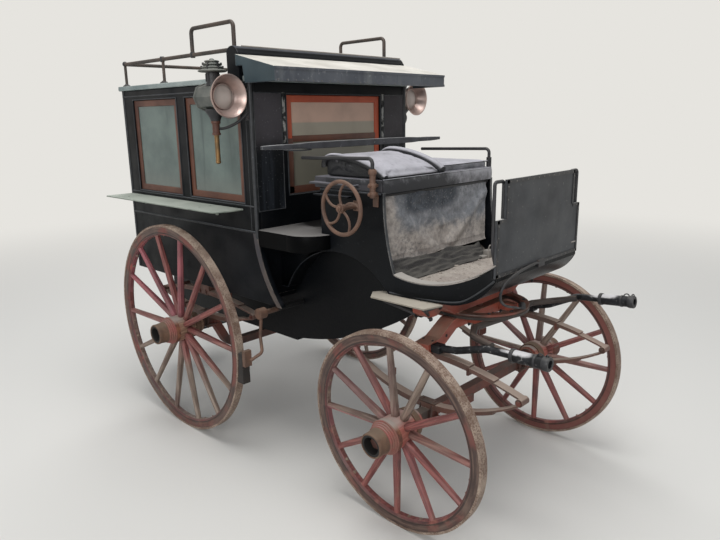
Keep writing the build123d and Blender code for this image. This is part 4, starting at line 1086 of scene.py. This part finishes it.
# these panels carry side_black, a black painted lighter as painted light for the shade they stand in
for side in SIDES:
    work.sawn([(-905, 860), (-905, 1149), (ARCH_END, 1149)] + arch[::-1], side * BOOT_SIDE, -side * 12)
work.done("boot_side_panels", "black_paint", "side_black")

RIM_FRONT = through((-160, 1032), (30, 1016), (290, 1125), 24)
RIM_KNEE = through((-217, 1379), (-204, 1200), (-160, 1032), 14)
for side in SIDES:
    work.strip([at(x, side * (cheek_side(x) + 1), z + 3) for x, z in RIM_FRONT], (0, -side * 54, 0), 5)
work.done("boot_rim_strips", "black_paint", "worn_edge")
for side in SIDES:
    work.strip([at(x + 2, side * (cheek_side(x) + 1), z) for x, z in RIM_KNEE], (0, -side * 14, 0), 4)
work.done("boot_knee_strips", "black_paint", "batten_paint")
for side in SIDES:
    toe = ((-180, 955), (0, 955), (110, 957), (190, 975), (286, 1068))
    work.rod([at(x, side * (cheek_side(x) - 1), z) for x, z in toe], 4.5, sides=2)
    work.bar([at(-224, side * BOOT_SIDE, 1372), at(-598, side * BOOT_SIDE, 1372)], 4)
work.done("boot_beads", "black_paint", "black_bead", sharp=60)


def footwell_dust():
    f = Finish("footwell_dust", rough=0.95)
    crumbs = f.noise(110, 4)
    colour = f.tint(f.noise(7, 6), 0.3, 0.7, 0x958b83, 0xb1a89e)
    colour = f.tint(crumbs, 0.5, 0.72, colour, 0x5d554d, 0, 0.6)
    colour = f.tint(f.noise(60, 2), 0.66, 0.74, colour, 0xc8bfb3, 0, 0.7)
    f.finish(colour, None, crumbs + f.noise(22, 4), 0.0025)


footwell_dust()
BOARD_TOP = 989
for i in range(5):
    y = -372 + 149 * i
    work.block(-228, 116, y, y + 147, BOARD_TOP - 11, BOARD_TOP)
footboard = work.done("footboard", "floor_wood", "footwell_dust", bevel=2)

random.seed(4)
for i in range(90):
    x, y = random.uniform(-205, 105), random.uniform(-330, 330)
    size = random.uniform(2.0, 6.5) * (1.5 if x < -120 else 1.0)
    turn = Matrix.Rotation(random.uniform(0, 3), 4, "Z")
    place = Matrix.Translation(at(x, y, BOARD_TOP + size * 0.3)) @ turn
    crumb = bmesh.ops.create_icosphere(work.mesh, subdivisions=1, radius=size / 1000,
                                       matrix=place @ Matrix.Diagonal((1.3, 0.9, 0.6, 1)))["verts"]
    for vertex in crumb:
        vertex.co += Vector([random.uniform(-0.2, 0.2) * size / 1000 for _ in range(3)])
work.done("plaster_crumbs", "floor_wood", "footwell_dust", sharp=20)

# %% A leather flap in the footwell
bmesh.ops.create_grid(work.mesh, x_segments=70, y_segments=36, size=0.5)
for vertex in work.mesh.verts:
    u, v = vertex.co.x, vertex.co.y
    back = 0.5 - v
    heap = 80 * back ** 1.4 * (0.98 + 0.3 * ripple(4 * u, 2 * v, 1)) * (1 - 0.15 * max(0, 2 * u) ** 2)
    heap += (7 + 9 * back) * ripple(9 * u, 7 * v, 2) + 2 * ripple(26 * u, 22 * v, 5)
    x = -188 + 66 * v + 26 * ripple(4 * u, 0, 7) * (v + 0.5)
    vertex.co = at(x, -20 + 690 * u, BOARD_TOP + 4 + max(0, heap))
flap = work.done("old_leather_flap", "floor_wood", "flap_leather", sharp=80)
flap.modifiers.new("thickness", "SOLIDIFY").thickness = 0.003

# %% [markdown]
# ## Seat edge and apron roller
# The seat's front is bound in leather with a stitched lower edge. The apron once rolled up on a wooden
# roller under it, and the roller's end still shows on the left.

# %% Seat binding, roller and cleat
EDGE = ((-223, 1431), (-219, 1424), (-217, 1402), (-219, 1374))
work.strip([at(x, -415, z) for x, z in EDGE], (0, 830, 0), 3, bend=True)
for side in SIDES:
    line = ((-223, 416, 1430), (-300, 417, 1430), (-420, 417, 1428), (-560, 416, 1428))
    work.strip([at(x, side * y, z) for x, y, z in line], (0, 0, -22), 2, bend=True)
for x, z, radius in ((-219, 1376, 3), (-221, 1430, 4)):
    work.bar([at(x, -414, z), at(x, 414, z)], radius)
work.done("seat_binding", "cushion_leather", "seat_leather", sharp=60)
for i in range(100):
    y = -408 + 816 * i / 99
    work.bar([at(-217.6, y, 1384), at(-217.6, y + 4.5, 1384)], 0.8, sides=1)
work.done("seat_stitches", "cushion_leather", "worn_edge", sharp=80)
ROLLER = [(0, 424), (9, 423), (13, 419), (13, 400), (10, 396), (10, -396), (13, -400), (13, -417), (0, -418)]
work.spun(ROLLER, lathe(-244, 0, 1364, (0, 1, 0)), 20)
for side in SIDES:
    work.block(-252, -236, side * 398, side * 404, 1350, 1379)
work.done("apron_roller", "dusty_wood", "lamp_black")
work.block(-176, -140, 296, 344, BOARD_TOP, 1026)
work.block(-196, -150, 262, 352, BOARD_TOP, 1002)
work.rod([at(-150, y, z) for y, z in ((305, 1026), (305, 1050), (335, 1050), (335, 1026))], 3.5, sides=2)
work.done("footwell_cleat", "floor_wood", "worn_edge", bevel=3)
print("seat edge at", SEAT_TOP)

# %% [markdown]
# ## Dashboard, visor and roof iron
# The dashboard is a board covered in leather, which is nailed round its edges under a narrow border. The
# visor is covered with painted canvas, sewn in widths and bound below, with seams on its front. Domed
# nails and seams are repeated small shapes, so one loop sets out each row.

# %% Dash border, nails and visor binding
dash_high = span("dashboard")[1]
face_x, hole_low, hole_side = dash_high[0], dash_high[2] - 150, dash_high[1] - 60
half_border = [(340, 1079), (340, hole_low), (hole_side, hole_low), (hole_side, 1450)]
border = [(-340, 1079)] + half_border + [(-y, z) for y, z in half_border[:0:-1]]
NAIL_GAP = 42
NAIL = [(0, 2.6), (2.6, 2), (3.6, 0)]
runs = [(Vector((0, *start)), Vector((0, *end))) for start, end in zip(border, border[1:] + border[:1])]
for start, end in runs:
    inward = Vector((1, 0, 0)).cross(end - start).normalized()
    work.strip([at(face_x + 1, start.y, start.z), at(face_x + 1, end.y, end.z)], inward * 13, 2.2)
work.done("dash_border", "dash_leather", "lamp_black")
for start, end in runs:
    inward = Vector((1, 0, 0)).cross(end - start).normalized()
    count = int((end - start).length / NAIL_GAP)
    for i in range(count):
        spot = start.lerp(end, (i + 0.5) / count) + inward * 6.5
        work.spun(NAIL, lathe(face_x + 2.5, spot.y, spot.z, (1, 0, 0)), 8)
work.done("dash_nails", "black_iron", "nail_iron", sharp=50)

front = span("visor")[1][0] + 0.5
for z in (1847, 1897):
    work.strip([at(front, -606, z), at(front, 606, z)], (0, 0, 11), 2)
for y in (-404, -202, 0, 202, 404):
    work.strip([at(front, y - 2, 1848), at(front, y - 2, 1906)], (0, 5, 0), 1.4)
work.done("visor_seams", "visor_cover")
crest_x, _, crest_top = span("roof_crest")[1]
# painted highlight: a pale bead along the crest's top stands for the light caught there
work.bar([at(crest_x - 8, -560, crest_top - 3), at(crest_x - 8, 560, crest_top - 3)], 3)
work.done("crest_bead", "black_paint", "worn_edge", sharp=60)
for i in range(24):
    work.spun([(0, 2.6), (3, 2), (4, 0)], lathe(front + 1, -590 + 1180 * i / 23, 1852.5, (1, 0, 0)), 8)
work.done("visor_nails", "black_iron", "nail_iron", sharp=50)

# %% [markdown]
# The luggage rail is smith's work: its posts stand on round feet, its corners end in balls, and the hoop is
# clamped to the rail. The shelves over the wheels have a rolled edge, as sheet iron needs to stay stiff.

# %% Rail feet, balls, collars and rolled shelf edges
RAIL_BACK, RAIL_MID, HOOP_BACK, HOOP_FRONT = -2132, -1706, -1404, -1044
RAIL_SIDE, RAIL_Z, FOOT_Z = 530, 2009, 1886
FOOT = [(0, 12), (10, 12), (13, 8), (20, 4), (23, 1), (23, -4)]
BALL = [(0, 15), (8, 13), (14, 6), (15, 0), (14, -6), (8, -13), (0, -15)]
COLLAR = [(0, 14), (11, 14), (13, 10), (13, -10), (11, -14), (0, -14)]
for side in SIDES:
    for x in (RAIL_BACK, RAIL_MID, HOOP_FRONT):
        work.spun(FOOT, lathe(x, side * RAIL_SIDE, FOOT_Z), 20)
    work.spun(BALL, lathe(RAIL_BACK, side * RAIL_SIDE, RAIL_Z + 2), 20)
    for x in (RAIL_MID, HOOP_BACK, HOOP_FRONT):
        work.spun(COLLAR, lathe(x, side * RAIL_SIDE, RAIL_Z), 16)
work.done("rail_feet_and_balls", "black_iron", sharp=50)
SHELF_Z = 1256
SHELF_EDGE = ((-2141, 719), (-1080, 719), (-1034, 716), (-1016, 660), (-1012, 560))
for side in SIDES:
    work.rod([at(x, side * y, SHELF_Z) for x, y in SHELF_EDGE], 4)
    for x in (-1982, -1240):
        for y in (600, 660):
            work.spun([(0, 3), (5, 2.4), (6, 0)], lathe(x, side * y, SHELF_Z + 4), 10)
work.done("shelf_edges", "pale_sheet", sharp=50)
print("rail feet on the roof at", FOOT_Z, "shelf edges at", SHELF_Z)

# %% [markdown]
# ## Smith's work under the coach
# Springs are held by clips: two bent bolts go over the leaves and through a plate under the axle, and every
# eye has a bolt with a nut. The same clip serves the front and the rear springs, so one function makes it.


# %% Spring clips and eye bolts
def nut(x, y, z, axis, radius=10, high=9):
    washer = radius * 1.25
    profile = [(0, high + 3), (radius * 0.45, high + 3), (radius * 0.5, high), (radius * 0.9, high),
               (radius, high - 1.5), (radius, 0), (washer, 0), (washer, -2)]
    work.spun(profile, lathe(x, y, z, axis), 6)


def spring_clips(name, body, x, y, leaves_low, leaves_top, eye):
    for middle in (-y, y):
        for dx in (-30, 30):
            # half width of a bent bolt, its foot and its bend
            for half, foot, bend in ((25, leaves_low - 60, leaves_low + 30),
                                     (24, leaves_top + 4, leaves_top - 30)):
                legs = ((-half, foot), (-half, bend), (half, bend), (half, foot))
                work.rod([at(x + dx, middle + dy, z) for dy, z in legs], 5)
            for dy in (-25, 25):
                nut(x + dx, middle + dy, leaves_low - 52, (0, 0, -1), 9, 7)
        work.block(x - 44, x + 44, middle - 36, middle + 36, leaves_low - 53, leaves_low - 45)
        for z in (leaves_low + 24, leaves_top - 29):
            work.block(x - 48, x + 48, middle - 22, middle + 22, z, z + 5)
        for end in (-445, 445):
            for out in SIDES:
                nut(x + end, middle + out * 26, eye, (0, out, 0), 11, 7)
                clip, leaf = x + end * 0.47, eye + out * 62
                work.block(clip - 5, clip + 5, middle - 23, middle + 23, leaf - 16, leaf + 16)
    work.done(name, "axle_iron", body=body, sharp=40)


spring_clips("front_spring_clips", "fore_carriage", 0, 372, 466, 730, 628)
spring_clips("rear_spring_clips", "coach", -1480, 506, 601, 760, 690)

# %% [markdown]
# The transom and the bolster are bolted to their wheel plates, and an iron stay curls from the foot of the
# dashboard down to the upper plate. The driver's steps rest on flat ribs.

# %% Bolts, stay and ribs
PLATE_BOLTS, BOLT_RING = 12, 206
STAY = ((292, 10, 1080), (296, -12, 1088), (302, -110, 1088), (304, -228, 1074), (304, -310, 1044),
        (290, -308, 990), (266, -226, 938), (240, -112, 902), (222, -30, 874), (212, 10, 866))
for side in SIDES:
    for x in (-18, 18):
        nut(x, side * 412, 937, (0, 0, 1), 9, 6)
    for y, z in ((414, 880), (352, 915), (270, 915)):
        for out in SIDES:
            nut(out * 38, side * y, z, (out, 0, 0), 9, 5)
    for x in (-150, 55):
        work.block(x - 11, x + 11, side * 384, side * 482, 931, 938)
        rib = ((x, 478, 934), (x * 0.7, 430, 905), (x * 0.35, 402, 880))
        work.rod([at(x, side * y, z) for x, y, z in rib], 7)
for i in range(PLATE_BOLTS):
    angle = (i + 0.5) * tau / PLATE_BOLTS
    if abs(sin(angle)) < 0.93:
        work.spun([(0, 5), (6, 4), (9, 0)], lathe(BOLT_RING * cos(angle), BOLT_RING * sin(angle), 861), 10)
work.rod([at(*point) for point in STAY], 5.5, sides=4)
work.block(286, 300, -22, 30, 1068, 1096)
work.spun([(0, 16), (9, 14), (14, 6), (12, 0), (16, -8), (16, -14)], lathe(214, 12, 876), 16)
work.done("transom_irons", "black_iron", sharp=45)

# painted shade: each bolt hole is a flat black disc on the wood, standing for the shade inside the hole
for side in SIDES:
    for y, z in ((352, 749), (392, 749), (300, 778)):
        work.spun([(0, 0.8), (7, 0.8), (7.5, -1)], lathe(36, side * y, z, (1, 0, 0)), 16)
work.done("bolster_bolt_holes", "red_wood", "bore_black", body="fore_carriage")
for side in SIDES:
    for x in (-24, 24):
        nut(x, side * 380, 768, (0, 0, 1), 9, 6)
    for y in (60, 130):
        nut(36, side * y, 790, (1, 0, 0), 9, 5)
work.done("bolster_bolts", "black_iron", sharp=45, body="fore_carriage")

# %% [markdown]
# The two shaft stubs were wrapped in leather, which has worn to white on top. Each has an iron cap round
# its socket, two bands, and a staple for a strap.

# %% Caps, bands and staples on the shaft stubs
STUB_BACK, STUB_FRONT, STUB_Y, STUB_Z = 290, 535, 388, 752
CAP_START = 405
BACK_BAND = [(24.5, -6), (27, -5), (28, 2), (27, 9), (24.5, 10), (24.5, -6)]
BAND = [(24.2, 92), (26.5, 93), (26.5, 101), (24.2, 102), (24.2, 92)]
CAP = [(24.2, 126), (27, 127), (28, 132), (28, 150), (26, 153), (17, 153), (16.5, 151), (24, 150),
       (24.2, 126)]
# side, rise at the stub's back and front
for side, second, last in ((-1, 54, 60), (1, 96, 118)):
    slope = (last - second) / (STUB_FRONT - STUB_BACK)
    place = lathe(CAP_START, side * STUB_Y, STUB_Z + second + slope * (CAP_START - STUB_BACK), (1, 0, slope))
    for profile in (BACK_BAND, BAND, CAP):
        work.spun(profile, place, 28)
    for start, end in ((102, 126), (136, 148)):
        low, high = place @ Vector((0, 0, start / 1000)), place @ Vector((0, 0, end / 1000))
        lift, out = Vector((0, 0, 0.034)), Vector((0, side * 0.004, 0))
        work.rod([low + lift * 0.55, low + lift + out, high + lift + out, high + lift * 0.55], 2.6)
work.done("stub_caps", "worn_iron", "lamp_black", sharp=45, body="fore_carriage")
print("stubs capped")

# %% [markdown]
# ## The hand brake
# The hand wheel turns a screw in a bracket under the seat. Its hub has a nut and a washer, and the column
# beside it is held by two clamps.

# %% Brake fittings, rear step ribs and back rail
COLUMN_X = -252
work.spun([(0, 14), (6, 13), (7, 9), (12, 9), (13, 7), (13, 0), (20, 0), (21, -2), (21, -6)],
          lathe(-362, -532, 1314, (0, -1, 0)), 24)
CLAMP = [(13, 10), (17, 9), (18, 6), (18, -6), (17, -9), (13, -10), (13, 10)]
for z in (1374, 1410, 1466):
    work.spun(CLAMP, lathe(COLUMN_X, -442, z), 20)
for z in (1374, 1410):
    nut(COLUMN_X, -460, z, (0, -1, 0), 8, 7)
    work.block(COLUMN_X - 10, COLUMN_X + 10, -446, -416, z - 5, z + 5)
for z in (1328, 1300):
    for x in (-376, -348):
        nut(x, -426, z, (0, -1, 0), 5, 4)
work.done("brake_fittings", "rusty_iron", sharp=45)
tread_back = span("rear_step")[0][0]
for i in range(7):
    y = -180 + 60 * i
    work.block(tread_back + 10, tread_back + 140, y - 3, y + 3, 226, 231)
    work.block(-2370, -2215, y - 3, y + 3, 383, 388)
work.done("rear_step_ribs", "black_iron", bevel=1)


def narrowed(middle, share):
    for vertex in work.mesh.verts:
        by_x, by_z = share(vertex.co.y)
        vertex.co.x = middle.x + (vertex.co.x - middle.x) * by_x
        vertex.co.z = middle.z + (vertex.co.z - middle.z) * by_z


def bar_share(y):
    thin = 1 - 0.6 * max(0, abs(y) - 0.56) / 0.088
    return thin, 0.5 + 0.5 * thin


def pad_share(y):
    thin = max(0.0, 1 - 0.35 * abs(y / 0.47) ** 8)
    return thin, thin


work.block(-744, -706, -648, 648, 1552, 1574)
bmesh.ops.subdivide_edges(work.mesh, edges=[e for e in work.mesh.edges if e.calc_length() > 1], cuts=24)
narrowed(at(-724, 0, 1566), bar_share)
for side in SIDES:
    line = ((CABIN_FRONT, 1541), (-790, 1539), (-735, 1548))
    work.strip([at(x, side * 340, z) for x, z in line], (0, side * 28, 0), 7, bend=True)
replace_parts(work.done("back_rail_bar", "dusty_wood", "rail_wood", bevel=2), "back_rail")
work.block(-748, -702, -470, 470, 1548, 1579)
bmesh.ops.subdivide_edges(work.mesh, edges=work.mesh.edges[:], cuts=9, use_grid_fill=True)
narrowed(at(-725, 0, 1563), pad_share)
pad = work.done("back_rail_pad", "dusty_wood", "rail_wood", bevel=9, sharp=80)
pad.data.shade_smooth()
print("brake and back rail done")

# %% [markdown]
# ## Floor and light
# A plain pale floor takes the shadow. Three large soft lamps light the coach like a studio: one above, one
# at the camera's side and one behind. The world is a plain pale grey that the camera, gloss and glass see
# a little brighter, and far off the floor fades into it. Their levels are set so that a colour renders
# about as it is written.

# %% Floor and lamps
BACKGROUND, AROUND, FLOOR = 0xe6e4df, 0xdfe3e8, 0xd6d4cf
FADE_START, FADE_END, FLOOR_RADIUS = 2.6, 9.0, 30
LAMP_SIZE = 4.0


def stage_floor():
    mesh = bmesh.new()
    bmesh.ops.create_circle(mesh, cap_ends=True, radius=FLOOR_RADIUS, segments=96)
    data = bpy.data.meshes.new("floor")
    mesh.to_mesh(data)
    mesh.free()
    floor = placed("floor", data)
    f = Finish("studio_floor", rough=0.9)
    x, y = f.part("X"), f.part("Y")
    far = f.mask((x * x + y * y).math("SQRT"), FADE_START, FADE_END)
    glow = f.add("Emission", {"Color": BACKGROUND})
    near = Value(f, f.shader.outputs[0])
    f.put(f.nodes["Material Output"].inputs["Surface"],
          f.add("MixShader", {0: f.seen_directly() * far, 1: near, 2: glow}))
    data.materials.append(f.finish(FLOOR))


def lamp_light(name, place, power):
    data = bpy.data.lights.new(name, "AREA")
    data.shape = "DISK"
    data.size = LAMP_SIZE
    data.energy = power
    turn = (Vector((0, 0, 1)) - Vector(place)).to_track_quat("-Z", "Y").to_matrix().to_4x4()
    placed(name, data).matrix_world = Matrix.Translation(place) @ turn


stage_floor()
lamp_light("top_light", (0.8, -0.8, 6.5), 230)
lamp_light("key_light", (3.5, -6.5, 3.6), 190)
lamp_light("back_light", (-4.5, 4.0, 5.0), 130)

world = bpy.context.scene.world = bpy.data.worlds.new("studio")
sky = Recipe(world)
around = sky.add("Background", {"Color": AROUND, "Strength": 0.6})
seen = sky.add("Background", {"Color": BACKGROUND, "Strength": 1.0})
sky.put(sky.nodes["World Output"].inputs["Surface"],
        sky.add("MixShader", {0: sky.seen_directly(), 1: around, 2: seen}))
